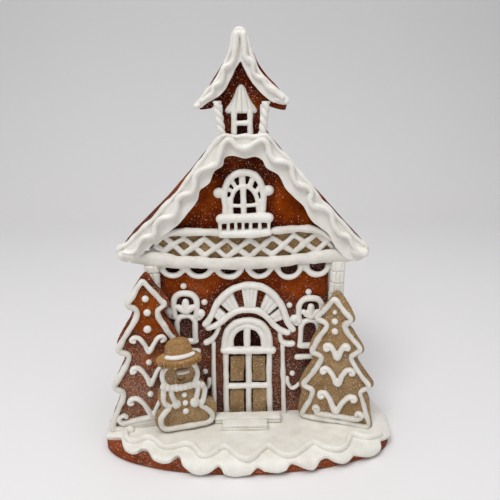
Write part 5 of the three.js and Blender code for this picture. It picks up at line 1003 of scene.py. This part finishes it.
def build_trees():
    build_tree("fir_brown", (-71, -28, -13, 0.6),
               [(-23.8, -1.6), (-23.9, 5.4), (-21.3, 13.4), (-17.4, 22.6), (-16.6, 26.8), (-20.3, 31.8), (-20.7, 33.2), (-17.5, 41.0), (-12.3, 50.8), (-12.2, 54.0), (-15.6, 58.2), (-16.1, 59.8), (-15.9, 64.4), (-8.4, 77.6), (-5.5, 82.6), (-4.6, 86.6), (-7.3, 89.9), (-7.5, 91.2), (-5.0, 96.6), (-1.4, 102.8), (1.4, 107.4), (4.6, 110.4), (7.2, 108.4),
                (11.0, 101.2), (15.8, 94.6), (18.8, 88.9), (18.8, 86.4), (14.6, 82.4), (17.8, 76.0), (22.2, 68.0), (24.6, 62.4), (24.8, 59.0), (19.8, 55.6), (22.2, 49), (28.0, 37.6), (29.8, 32.2), (29.4, 30.2), (25.4, 28.0), (26.8, 18.5), (30.8, 7), (30.8, -1.6)],
               [(-23.0, 1.0), (-22.4, 7.6), (-19.1, 15.6), (-15.6, 23.6), (-15.2, 27.8), (-20.2, 32.8), (-15.4, 41.8), (-10.3, 50.7), (-9.6, 55.0), (-15.7, 59.2), (-13.6, 64.2), (-10.6, 69.2), (-5.1, 77.4), (-2.9, 82.0), (-2.7, 86.3), (-7.9, 90.4), (-4.7, 95.1), (-2.1, 99.9), (0.2, 103.2), (2.2, 105.4),
                (5.8, 101.0), (9.7, 96.0), (13.1, 91.2), (15.2, 88.0), (11.0, 84.4), (11.0, 80.2), (13.9, 73.9), (17.4, 67.4), (20.6, 62.4), (22.2, 59.4), (17.0, 56.4), (17.6, 51.0), (22.4, 42.0), (26.6, 33.6), (27.0, 30.6), (22.4, 28.2), (23.2, 20), (27.2, 9), (28.4, 1.4), (16, 1.0), (4.1, 1.0), (-8, 0.9), (-18, 0.4)],
               [(3.4, 93.3, 2.3), (4.0, 83.6, 2.45), (3.5, 71.9, 2.65), (3.1, 47.9, 2.1), (2.9, 23.9, 2.2)],
               [[(-5.5, 64.5), (-7.5, 65.5), (-5.9, 67.5), (-2.3, 66.4), (1.0, 61.5), (3.5, 56.0), (6.7, 60.7), (9.8, 65.2), (12.9, 65.9), (14.5, 63.5), (12.4, 62.6)],
                [(-6.7, 42.9), (-8.5, 42.2), (-7.9, 45.1), (-4.4, 45.1), (-1.0, 41.3), (1.6, 36.2), (3.4, 31.4), (6.1, 36.8), (9.3, 42.2), (12.6, 44.4), (15.0, 42.2), (13.2, 41.0)],
                [(-9.9, 18.9), (-11.7, 19.4), (-10.5, 22.0), (-6.6, 22.2), (-2.4, 17.7), (0.9, 11.2), (3.3, 7.2), (6.3, 12.7), (9.3, 17.7), (13.2, 21.4), (16.6, 20.2), (15.2, 18.0)]],
               [([(-14.2, 9.2), (-16.0, 10.6), (-18.2, 9.6), (-19.0, 6.8), (-16.4, 4.8), (-7.7, 5.4), (5.0, 5.8), (16, 5.6), (23.4, 6.0), (25.4, 8.8), (23.4, 11.0), (21.6, 9.4)], [3.0, 3.4, 4.0, 4.4, 4.6, 4.6, 4.2, 3.4]), ([(-12, 2.6), (0, 3.0), (14, 3.0)], 4.0)],
               FROST, "tree_left", width=[3.9, 4.1, 3.9, 3.7, 3.6, 3.7, 3.9, 4.0, 4.2, 4.0], wide=(3.2, 3.35, 3.6))
    build_tree("fir_tan", (57.8, -28.3, 19.5, 0.4),
               [(-24.2, -0.3), (-25.7, 3.0), (-25.3, 12.5), (-23.8, 19.8), (-25.9, 23.6), (-26.0, 26.1), (-22.2, 35.4), (-16.8, 46.0), (-19.2, 50.0), (-19.7, 53.4), (-16.8, 63.4), (-13.6, 70.0), (-15.2, 75.4), (-15.5, 77.0), (-13.0, 82.1), (-9.4, 87.4), (-6.6, 92.0), (-4.7, 95.4), (-2.3, 95.9), (1.2, 92.6), (5.2, 86.8), (8.8, 79.9), (9.6, 77.2), (6.4, 73.6),
                (9.4, 68.8), (15.7, 59.0), (16.6, 56.2), (12.4, 50.8), (15.4, 45.4), (22.2, 36.6), (24.8, 32.4), (19.9, 26.4), (22.0, 21.9), (23.7, 11.0), (25.4, 1.7), (25.5, -2.0)],
               [(-22.3, 0.9), (-20.9, 6.4), (-17.4, 14.0), (-16.3, 21.8), (-22.2, 25.3), (-18.6, 31.6), (-13.8, 40.1), (-10.9, 48.6), (-17.0, 51.6), (-15.4, 56.6), (-12.2, 64.2), (-8.8, 69.5), (-8.4, 72.9), (-14.8, 77.0), (-11.8, 81.2), (-7.8, 86.3), (-3.9, 91.2), (-0.9, 87.8), (3.2, 83.0), (7.4, 78.2), (3.5, 73.9), (5.2, 69.2), (8.8, 65.0), (14.3, 58.0), (9.0, 51.6), (11.2, 46.2), (17.0, 38.0), (21.8, 31.6), (16.8, 26.8), (18.6, 19.4), (21.5, 9.4), (23.2, 1.4), (8, 0.7), (-7.5, 0.6)],
               [(-3.4, 82.1, 1.5), (-3.1, 75.6, 2.25), (-2.7, 68.5, 2.3)],
               [[(-6.6, 55.4), (-7.9, 54.5), (-8.5, 56.9), (-5.9, 57.8), (-3.2, 55.0), (-0.4, 49.4), (2.3, 55.6), (4.5, 59.2), (6.6, 59.3), (6.9, 57.4), (5.5, 57.2)],
                [(-8.2, 37.7), (-9.4, 36.8), (-9.9, 39.2), (-7.0, 40.3), (-3.5, 37.3), (1.0, 30.0), (4.3, 37.8), (7.1, 41.6), (10.2, 41.8), (11.1, 39.5), (9.6, 38.9)],
                [(-9.1, 18.1), (-10.6, 17.8), (-10.8, 20.5), (-7.7, 21.5), (-4.0, 17.4), (0.8, 8.2), (4.8, 15.6), (9.0, 20.8), (12.5, 21.5), (13.5, 19.5), (12.0, 18.9)]],
               [([(-13.4, 6.6), (-14.6, 8.4), (-12.2, 9.6), (-11.0, 7.3), (-13.2, 4.6), (-7.6, 4.4), (2.4, 4.7), (12.3, 4.8), (17.6, 6.2), (18.6, 9.2), (15.8, 10.2), (14.8, 8.4)], [2.8, 3.0, 3.5, 3.9, 3.7, 3.2, 2.8])],
               TAN, "tree_right", width=[4.0, 3.8, 3.7, 3.7, 3.6, 3.5, 3.3, 3.1, 3.4, 3.9], wide=(3.9, 3.9, 3.9))


# ------------------------------------------------------------------ snowman
def build_snowman():
    put = standing(-43, -32, 10.4, -18.6, 2)
    c = Clay()
    body = [(-16.2, -0.6), (-20.2, 3.0), (-22.0, 6.8), (-21.6, 10.8), (-20.0, 14.6), (-17.0, 17.6), (-17.8, 20.5), (-19.1, 24.6), (-18.7, 28.6), (-17.0, 32.6), (-16.2, 36.6), (-16.6, 41.0), (-15.8, 44.8), (-13.0, 50.0), (-8.0, 53.6), (-3.0, 54.4), (3.0, 53.0), (7.0, 48.6), (8.9, 42.6), (8.8, 38.0), (9.4, 34.4), (12.4, 31.6), (13.8, 27.5), (13.9, 23.0), (13.2, 18.8), (15.6, 18.6), (18.2, 16.8), (20.2, 12.8), (20.6, 8.0), (19.0, 3.0), (15.8, -0.8)]
    c.slab(curve(body, 1.0, closed=True), -4.9, -0.2, put=put)
    piece("snowman_biscuit", c, TAN, ["snowman"], voxel=0.6, smooth=3, uneven=((0.12, 4), (0.07, 1.5)))

    c = Clay()
    w = 3.7
    c.stroke([(-12.6, 48.6), (-15.2, 45.4), (-15.9, 42.3), (-15.6, 39.0), (-14.4, 36.0), (-12.9, 34.0)], w, 2.4, 3.9, put=put)
    c.stroke([(5.4, 46.6), (7.4, 43.0), (7.7, 39.7), (6.8, 36.6), (5.6, 33.9)], w, 2.4, 3.9, put=put)
    for u, v, r in ((-15.9, 35.2, 2.3), (-13.0, 34.0, 2.5), (-10.1, 33.1, 2.4), (-7.2, 32.8, 2.6), (-4.2, 32.5, 2.5), (-1.2, 32.4, 2.6), (1.9, 32.5, 2.5), (5.0, 32.5, 2.6), (8.0, 32.5, 2.4), (10.2, 31.6, 2.1)):
        c.bead(u, v, r, 3.9, 4.4, put=put)
    c.stroke([(-15.9, 35.2), (-13.2, 34.0), (-10.1, 33.0), (-6.3, 32.7), (-2.5, 32.4), (0.9, 32.5), (4.8, 32.5), (7.8, 32.6), (10.2, 31.6)], 3.8, 3.3, 4.2, put=put)
    c.stroke([(-15.0, 34.2), (-15.8, 30.4), (-16.0, 26.0), (-15.2, 21.8), (-12.6, 18.6), (-14.6, 16.4), (-17.0, 14.0), (-18.5, 11.0), (-18.7, 7.4), (-17.7, 4.3), (-15.4, 2.4), (-9.0, 1.8), (-1.2, 1.3), (7.6, 0.9), (13.9, 1.0), (16.6, 2.8), (16.8, 6.2), (15.0, 9.4), (12.0, 12.4), (9.2, 15.2), (10.7, 19.4), (11.8, 23.2), (12.0, 27.0), (10.8, 31.0)], w, 2.4, 3.9, put=put, wobble=0.07)
    c.stroke([(-10.9, 31.4), (-10.5, 27.6), (-9.5, 24.2), (-8.0, 21.1)], 3.7, 2.9, 4.0, put=put)
    c.stroke([(7.6, 30.8), (7.1, 26.6), (6.3, 22.8), (5.3, 19.9)], 3.7, 2.9, 4.0, put=put)
    c.bead(-7.6, 20.0, 3.1, 3.2, 4.7, put=put)
    c.bead(5.0, 18.7, 3.5, 3.3, 4.9, put=put)
    piece("snowman_outline_icing", c, GRIT, ["snowman_outline"], voxel=0.36, smooth=2, uneven=((0.09, 2.4), (0.07, 1.0)))
    c = Clay()
    for u, v, r in ((-2.0, 25.7, 1.95), (-1.5, 19.4, 2.0), (-1.5, 13.0, 2.15)):
        c.bead(u, v, r, 2.0, 3.4, put=put, plain=True)
    c.bead(-6.8, 46.6, 1.35, 0.9, 2.0, put=put, plain=True)
    c.bead(-0.4, 46.9, 1.35, 0.9, 2.0, put=put, plain=True)
    piece("snowman_dots", c, ICING, [])
    c = Clay()
    c.stroke([(-5.3, 43.5), (-2.2, 43.2), (0.9, 43.3)], [2.5, 2.9, 2.5], 3.4, 3.8, put=put, plain=True, sides=14)
    piece("snowman_nose", c, GRIT, [])
    c = Clay()
    c.stroke([(-5.9, 38.5), (-4.9, 37.1), (-3.6, 36.4), (-2.3, 36.8), (-1.2, 37.9)], [0.7, 1.0, 1.1, 1.0, 0.7], 0.25, 0.9, put=put, plain=True, sides=10)
    piece("snowman_mouth", c, BROWN, [])

    # Straw hat: a soft crown on a flat brim that leans forward, its front edge pleated, and a white band.
    c = Clay()
    c.slab(curve([(-12.4, 53), (-12.8, 58.0), (-12.3, 61.5), (-11.2, 64.0), (-8.8, 66.0), (-5.4, 66.7), (-1.2, 66.4), (2.3, 64.9), (3.9, 62.0), (4.6, 58.4), (4.8, 53)], 1.0, closed=True), -3.2, 3.4, put=put)
    c.bead(-3.9, 58.8, 8.4, 4.8, 8.6, put=put, ry=7.2)
    c.bead(-7.0, 60.6, 4.6, 4.2, 6.6, put=put, ry=5.0)
    c.bead(-0.8, 60.2, 4.6, 4.2, 6.6, put=put, ry=5.0)
    c.slab(curve([(-12.2, 52.6), (-12.2, 56), (-3.8, 57.4), (4.6, 56), (4.6, 52.6)], 1.0, closed=True), -3.0, 5.4, put=put)
    m, rows = 180, []
    cu, cw, au, aw = -4.8, 2.6, 15.2, 6.0
    for r, lift in ((0.0, 1.2), (0.35, 1.3), (0.6, 1.35), (0.8, 1.3), (0.92, 1.05), (0.98, 0.6), (1.0, -0.1), (0.995, -0.9), (0.97, -1.6), (0.9, -2.1), (0.75, -2.3), (0.5, -2.2), (0.0, -2.0)):
        ring = []
        for k in range(m):
            a = 2 * math.pi * k / m
            q = max(r, 0.002)
            u, w_ = cu + au * q * math.cos(a), cw + aw * q * math.sin(a)
            v = 54.6 - 0.36 * (w_ - cw) + lift * (1.15 if lift < 0 else 1) - 0.9 * (abs(u - cu) / au) ** 3 * (1 if u > cu else -0.9)
            ring.append((u, v, w_))
        rows.append(ring)
    verts = np.array([q for ring in rows for q in ring])
    faces = []
    for i in range(len(rows) - 1):
        for k in range(m):
            l = (k + 1) % m
            faces.append((i * m + k, (i + 1) * m + k, (i + 1) * m + l, i * m + l))
    faces.append(tuple(range(m)))
    faces.append(tuple(range((len(rows) - 1) * m, len(rows) * m))[::-1])
    c.add(put(verts), faces, plain=True)
    # pleats: small folds along the brim's front edge
    for k in range(14):
        a = math.radians(156 - 132 * k / 13)
        u, w_ = cu + (au - 0.4) * math.cos(a), cw + (aw - 0.3) * math.sin(a)
        v = 54.5 - 0.36 * (w_ - cw) - 0.9 * (abs(u - cu) / au) ** 3 * (1 if u > cu else -0.9)
        c.stroke([(u, v + 1.1), (u + 0.1, v - 1.3)], [1.35, 1.6], [w_ + 1.9, w_ + 1.7], 3.2, put=put, plain=True, sides=12, wobble=0.0)
    piece("hat_biscuit", c, STRAW, ["snowman_hat"], voxel=0.42, smooth=2)
    c = Clay()
    c.stroke([(-12.9, 56.7), (-9.4, 56.3), (-5.3, 56.2), (-1.2, 56.2), (3.2, 56.3), (4.6, 56.5)], 3.1, [5.4, 6.9, 7.3, 7.3, 6.6, 5.4], 3.6, put=put, sides=12)
    piece("hat_band_icing", c, ICING, ["snowman_hat_band"], voxel=0.38, smooth=2)


# ------------------------------------------------------------------ steeple
def build_steeple():
    # brown roof slab under the icing, a little bigger than it
    c = Clay()
    outer = [(-30.6, 220.0), (-30.0, 222.2), (-25.8, 230.9), (-21.4, 238.2), (-17.6, 244.0), (-13.4, 249.8), (-8.9, 256.4), (-5.6, 259.6), (-1.6, 256.6), (1.2, 252.4), (4.4, 246.4), (9.0, 240.4), (14.2, 235.0), (19.6, 228.2), (21.6, 223.8), (20.8, 219.6)]
    inner = [(12.2, 221.6), (7.6, 227.0), (0.6, 236.6), (-5.6, 246.4), (-11.6, 237.4), (-18.8, 227.4), (-23.4, 220.8)]
    c.slab(np.vstack([curve(outer, 1.2), curve(inner, 1.2)]), -11.6, 19.2)
    piece("steeple_roof_slab", c, BROWN, ["steeple_roof"], voxel=0.7, smooth=3, uneven=((0.16, 5), (0.07, 1.8)))
    c = Clay()
    c.slab([(-16.6, 202.6), (5.8, 202.6), (5.8, 229.2), (-0.2, 237.2), (-5.5, 245.4), (-11.2, 237.4), (-16.6, 229.4)], -10.3, 14.6)
    # the gable reaches out to the roof on both sides
    c.slab([(-24.6, 223.4), (13.2, 223.4), (6.4, 230.6), (-0.2, 238.8), (-5.5, 247.4), (-11.6, 239.4), (-19.0, 229.4)], -8.6, 15.0)
    c.slab([(8.2, 205.6), (11.4, 205.6), (8.8, 209.6)], 10.5, 14.6)
    piece("steeple_walls", c, BROWN, ["steeple_body"], voxel=0.7, smooth=2, uneven=((0.1, 5), (0.05, 2)))

    # icing band
    c = Clay()
    out_l = [(-32.5, 221.0), (-33.2, 222.4), (-31.0, 225.5), (-28.6, 228.7), (-25.8, 231.9), (-22.9, 234.3), (-20.4, 237.0), (-18.7, 240.1), (-17.4, 242.9), (-16.1, 245.6), (-14.4, 249.0), (-12.8, 252.9), (-11.7, 256.3), (-11.2, 259.3), (-10.6, 261.9), (-9.8, 263.4), (-8.6, 264.6), (-6.6, 265.3)]
    out_r = [(-6.6, 265.3), (-4.6, 264.7), (-3.2, 263.6), (-2.4, 262.3), (-1.6, 260.1), (-0.8, 257.4), (0.0, 254.4), (0.8, 251.7), (1.8, 248.7), (3.1, 245.6), (4.9, 242.5), (7.6, 239.4), (10.6, 236.6), (13.9, 233.2), (17.3, 230.3), (20.3, 227.9), (21.8, 226.2), (22.2, 224.8), (21.4, 223.4)]
    inn = [(17.9, 223.2), (14.5, 224.2), (11.6, 225.0), (9.9, 226.2), (7.4, 228.2), (5.1, 230.6), (2.8, 233.0), (0.7, 235.4), (-1.4, 238.6), (-3.0, 241.7), (-4.7, 244.8), (-5.9, 247.3), (-7.1, 245.6), (-8.8, 243.3), (-10.0, 240.9), (-11.7, 237.8), (-13.8, 233.8), (-15.9, 231.1), (-18.5, 228.3), (-20.2, 226.9), (-22.7, 225.5), (-26.1, 223.9), (-28.6, 221.8)]
    edge = np.vstack([curve(out_l, 1.0), curve(out_r, 1.0)[1:]])
    c.slab(np.vstack([inset(edge, 0.0), curve(inn, 1.0)]), 17.8, 21.7)
    c.stroke(inset(edge, 0.9)[2:-2], 2.6, 22.7, 4.2, smooth=False, step=1.0, wobble=0.08)
    c.stroke([(-31.4, 222.8), (-26.8, 225.4)], 3.0, 23.2, 4.8)
    c.stroke([(20.2, 224.9), (15.2, 226.2)], 3.0, 23.2, 4.8)
    c.bead(-6.4, 261.8, 3.0, 23.6, 6.0, ry=2.6)
    c.stroke([(-8.3, 261.6), (-8.9, 257.6), (-9.4, 252.7), (-10.1, 248.3), (-11.8, 245.7), (-14.3, 244.5), (-15.9, 243.1), (-16.2, 240.8), (-16.3, 238.6), (-17.2, 236.4), (-18.9, 235.1), (-20.9, 234.1), (-22.0, 232.6), (-21.9, 230.9), (-23.0, 229.0), (-25.6, 227.3), (-28.7, 225.2)], [4.0, 4.1, 3.7, 3.2, 3.3, 3.2, 3.3, 2.8], 24.7, 5.0, wobble=0.08, step=0.7, plain=True, sides=16)
    c.stroke([(-4.6, 261.6), (-3.9, 256.9), (-3.6, 252.7), (-3.5, 250.1), (-2.1, 248.3), (0.2, 247.0), (1.1, 245.3), (1.1, 242.8), (1.6, 240.4), (3.6, 238.8), (6.4, 238.0), (7.7, 236.2), (8.5, 234.3), (10.5, 232.7), (13.3, 231.4), (15.6, 229.4), (18.2, 227.2)], [4.0, 4.1, 3.7, 3.2, 3.3, 3.2, 3.3, 2.8], 24.7, 5.0, wobble=0.08, step=0.7, plain=True, sides=16)
    piece("steeple_icing", c, ICING, ["steeple_trim"], voxel=0.36, smooth=2, uneven=((0.12, 2.8), (0.06, 1.2)))

    # twisted posts
    for name, node, a, b in (("steeple_post_left_icing", "steeple_post_left", (-17.4, 206.2), (-19.9, 225.4)), ("steeple_post_right_icing", "steeple_post_right", (6.8, 206.2), (8.9, 225.2))):
        c = Clay()
        n, m = 60, 110
        verts, faces = [], []
        for i in range(m + 1):
            t = i / m
            z = a[1] + (b[1] - a[1]) * t
            x = a[0] + (b[0] - a[0]) * t
            for k in range(n):
                th = 2 * math.pi * k / n
                fold = abs(math.cos(th + t * 12.6))
                r = 1.45 + 1.15 * fold ** 0.55
                r *= 1 - (0.25 if i in (0, m) else 0)
                verts.append((x + r * math.cos(th), -20.3 + r * math.sin(th), z))
        for i in range(m):
            for k in range(n):
                l = (k + 1) % n
                faces.append((i * n + k, i * n + l, (i + 1) * n + l, (i + 1) * n + k))
        faces.append(tuple(range(n))[::-1])
        faces.append(tuple(range(m * n, (m + 1) * n)))
        c.add(verts, faces, plain=True)
        piece(name, c, ICING, [node])

    # window under a fluted hood
    c = Clay()
    c.stroke([(-10.0, 206.4), (-10.0, 212), (-9.9, 219)], [3.7, 3.5, 3.9], 17.9, 3.8)
    c.stroke([(-0.2, 206.4), (-0.3, 212), (-0.4, 219)], [3.7, 3.5, 3.9], 17.9, 3.8)
    c.stroke([(-8.8, 212.2), (-1.8, 212.5)], 3.2, 17.7, 3.4)
    piece("steeple_window_icing", c, ICING, ["steeple_window"], voxel=0.34, smooth=2, uneven=((0.07, 2.4), (0.05, 1.0)))
    c = Clay()
    # painted shade: a dark sheet behind the steeple window, where the openings show deep shadow
    c.slab([(-9.0, 206.2), (-1.0, 206.2), (-1.0, 219), (-9.0, 219)], 14.2, 15.1)
    piece("steeple_pane", c, SHADE_DARK, [], voxel=0.5, smooth=2)
    c = Clay()
    rows, cols = 46, 121
    zs = np.array([234.4, 233.6, 232.6, 230.9, 229.0, 227.0, 225.3, 223.8, 222.0, 220.5, 219.3, 218.4, 217.8])
    hs = np.array([0.9, 1.8, 2.5, 3.25, 3.9, 4.9, 5.8, 6.8, 8.3, 9.3, 9.6, 9.2, 8.2])
    verts, faces = [], []
    for i in range(rows + 1):
        t = i / rows
        z = 234.4 - 16.6 * t
        half = np.interp(-z, -zs, hs)
        cuts = [np.interp(z, [218.8, 233.0], q) for q in ((-9.1, -7.6), (-5.2, -5.6), (-1.0, -3.6), (-12.8, -9.0), (2.4, -2.2))]
        for k in range(cols):
            s = -1 + 2 * k / (cols - 1)
            x = -5.7 + half * s
            near = [abs(x - q) for q in cuts]
            crease = min(1.0, t * 4.0) * max(math.exp(-(min(near[:3]) / 0.30) ** 2), 0.6 * min(1.0, t * 1.2) * math.exp(-(min(near[3:]) / 0.32) ** 2))
            low_end = max(0.0, (t - 0.88) / 0.12)
            w = 3.4 * (max(0.0, 1 - s * s * 0.97)) ** 0.45 * (0.6 + 0.4 * t) * math.sqrt(max(0.0, 1 - low_end ** 2.4)) if low_end < 1 else 0.2
            verts.append((x, z, 14.8 + w - 1.15 * crease * (1 - abs(s) ** 6) * min(1.0, w)))
    front = [(x, z, max(w, 14.9)) for x, z, w in verts]
    back = [(x, z, 14.1) for x, z, w in verts]
    n = len(front)
    for i in range(rows):
        for k in range(cols - 1):
            p = i * cols + k
            faces.append((p, p + cols, p + cols + 1, p + 1))
            faces.append((n + p, n + p + 1, n + p + cols + 1, n + p + cols))
    rim = [k for k in range(cols)] + [r * cols + cols - 1 for r in range(1, rows + 1)] + [rows * cols + k for k in range(cols - 2, -1, -1)] + [r * cols for r in range(rows - 1, 0, -1)]
    for i in range(len(rim)):
        j = (i + 1) % len(rim)
        faces.append((rim[i], rim[j], n + rim[j], n + rim[i]))
    c.add(wall(front + back), faces, plain=True)
    piece("steeple_hood_icing", c, ICING, ["steeple_canopy"])


build_board()
build_snow()
build_house()
build_trim()
build_gable()
build_attic()
column("pillar_left", -64.4, -15.2, 8.2, 123.0, "column_left")
column("pillar_right", 57.2, -15.2, 8.2, 124.6, "column_right")
column("pillar_back_left", -65.7, 18.0, 8.2, 125.6, "column_back_left")
column("pillar_back_right", 58.2, 18.0, 8.2, 125.6, "column_back_right")
build_door()
build_arch()
build_windows()
build_steps()
build_trees()
build_snowman()
build_steeple()


# ------------------------------------------------------------------ floor, light, camera
def stage_floor():
    """A pale sweep: floor that curves up into a backdrop."""
    prof = [(-1.6, -0.0006), (0.55, -0.0006)] + [(0.55 + 0.35 * math.sin(a), 0.35 - 0.35 * math.cos(a) - 0.0006) for a in np.radians(np.linspace(6, 90, 15))] + [(0.9, 1.8)]
    verts, faces = [], []
    for y, z in prof:
        verts += [(-2.6, y, z), (2.6, y, z)]
    for i in range(len(prof) - 1):
        faces.append((2 * i, 2 * i + 1, 2 * i + 3, 2 * i + 2))
    me = bpy.data.meshes.new("floor")
    me.from_pydata(verts, [], faces)
    me.update()
    obj = bpy.data.objects.new("floor", me)
    scene.collection.objects.link(obj)
    me.polygons.foreach_set("use_smooth", [True] * len(me.polygons))
    mat, nt, bsdf, where, node = material("floor_paper")
    tone = node("ShaderNodeTexNoise", {"Vector": where, "Scale": 3.0, "Detail": 2.0})
    z = node("ShaderNodeSeparateXYZ", {"Vector": where}).node.outputs["Z"]
    # painted shade: the sweep is coloured darker as it rises into the backdrop, standing in for the light falling off
    # up there
    up = node("ShaderNodeMapRange", {"Value": z, "From Min": 0.0, "From Max": 0.6})
    col = node("ShaderNodeMix", {0: up, 6: srgb(240, 238, 238), 7: srgb(214, 214, 216)}, 2, data_type="RGBA")
    soft = node("ShaderNodeMapRange", {"Value": tone, "To Min": 0.985, "To Max": 1.015})
    nt.links.new(node("ShaderNodeVectorMath", {0: col, "Scale": soft}, operation="SCALE"), bsdf.inputs["Base Color"])
    bsdf.inputs["Roughness"].default_value = 0.85
    bsdf.inputs["Specular IOR Level"].default_value = 0.2
    me.materials.append(mat)


stage_floor()


def area(name, at, aim, size, power, tint=(1, 1, 1)):
    light = bpy.data.lights.new(name, "AREA")
    light.energy, light.size, light.color = power, size, tint
    obj = bpy.data.objects.new(name, light)
    scene.collection.objects.link(obj)
    obj.location = at
    d = np.array(aim) - np.array(at)
    from mathutils import Vector
    obj.rotation_euler = Vector(d).to_track_quat("-Z", "Y").to_euler()


area("key", (-0.34, -0.62, 1.05), (0, 0, 0.1), 0.45, 5.9)
area("fill", (0.8, -0.6, 0.5), (0, 0, 0.12), 0.9, 0.9)
area("sky", (0, -0.16, 1.3), (0, 0, 0), 1.0, 6.2)
world = bpy.data.worlds.new("studio")
scene.world = world
world.use_nodes = True
world.node_tree.nodes["Background"].inputs[0].default_value = (0.98, 0.99, 1.0, 1)
world.node_tree.nodes["Background"].inputs[1].default_value = 0.285

cam = bpy.data.cameras.new("camera")
cam.lens, cam.sensor_width, cam.sensor_fit = 540 / 500 * 36, 36, "AUTO"
cam.clip_start, cam.clip_end = 0.02, 20
cam.dof.use_dof = False
camera = bpy.data.objects.new("camera", cam)
scene.collection.objects.link(camera)
camera.location = (-0.012, -0.3475 + MIDDLE / 1000, 0.240)
camera.rotation_euler = (math.radians(72), 0, math.radians(-2))
scene.camera = camera
scene.view_settings.view_transform = "Standard"
scene.view_settings.look = "None"
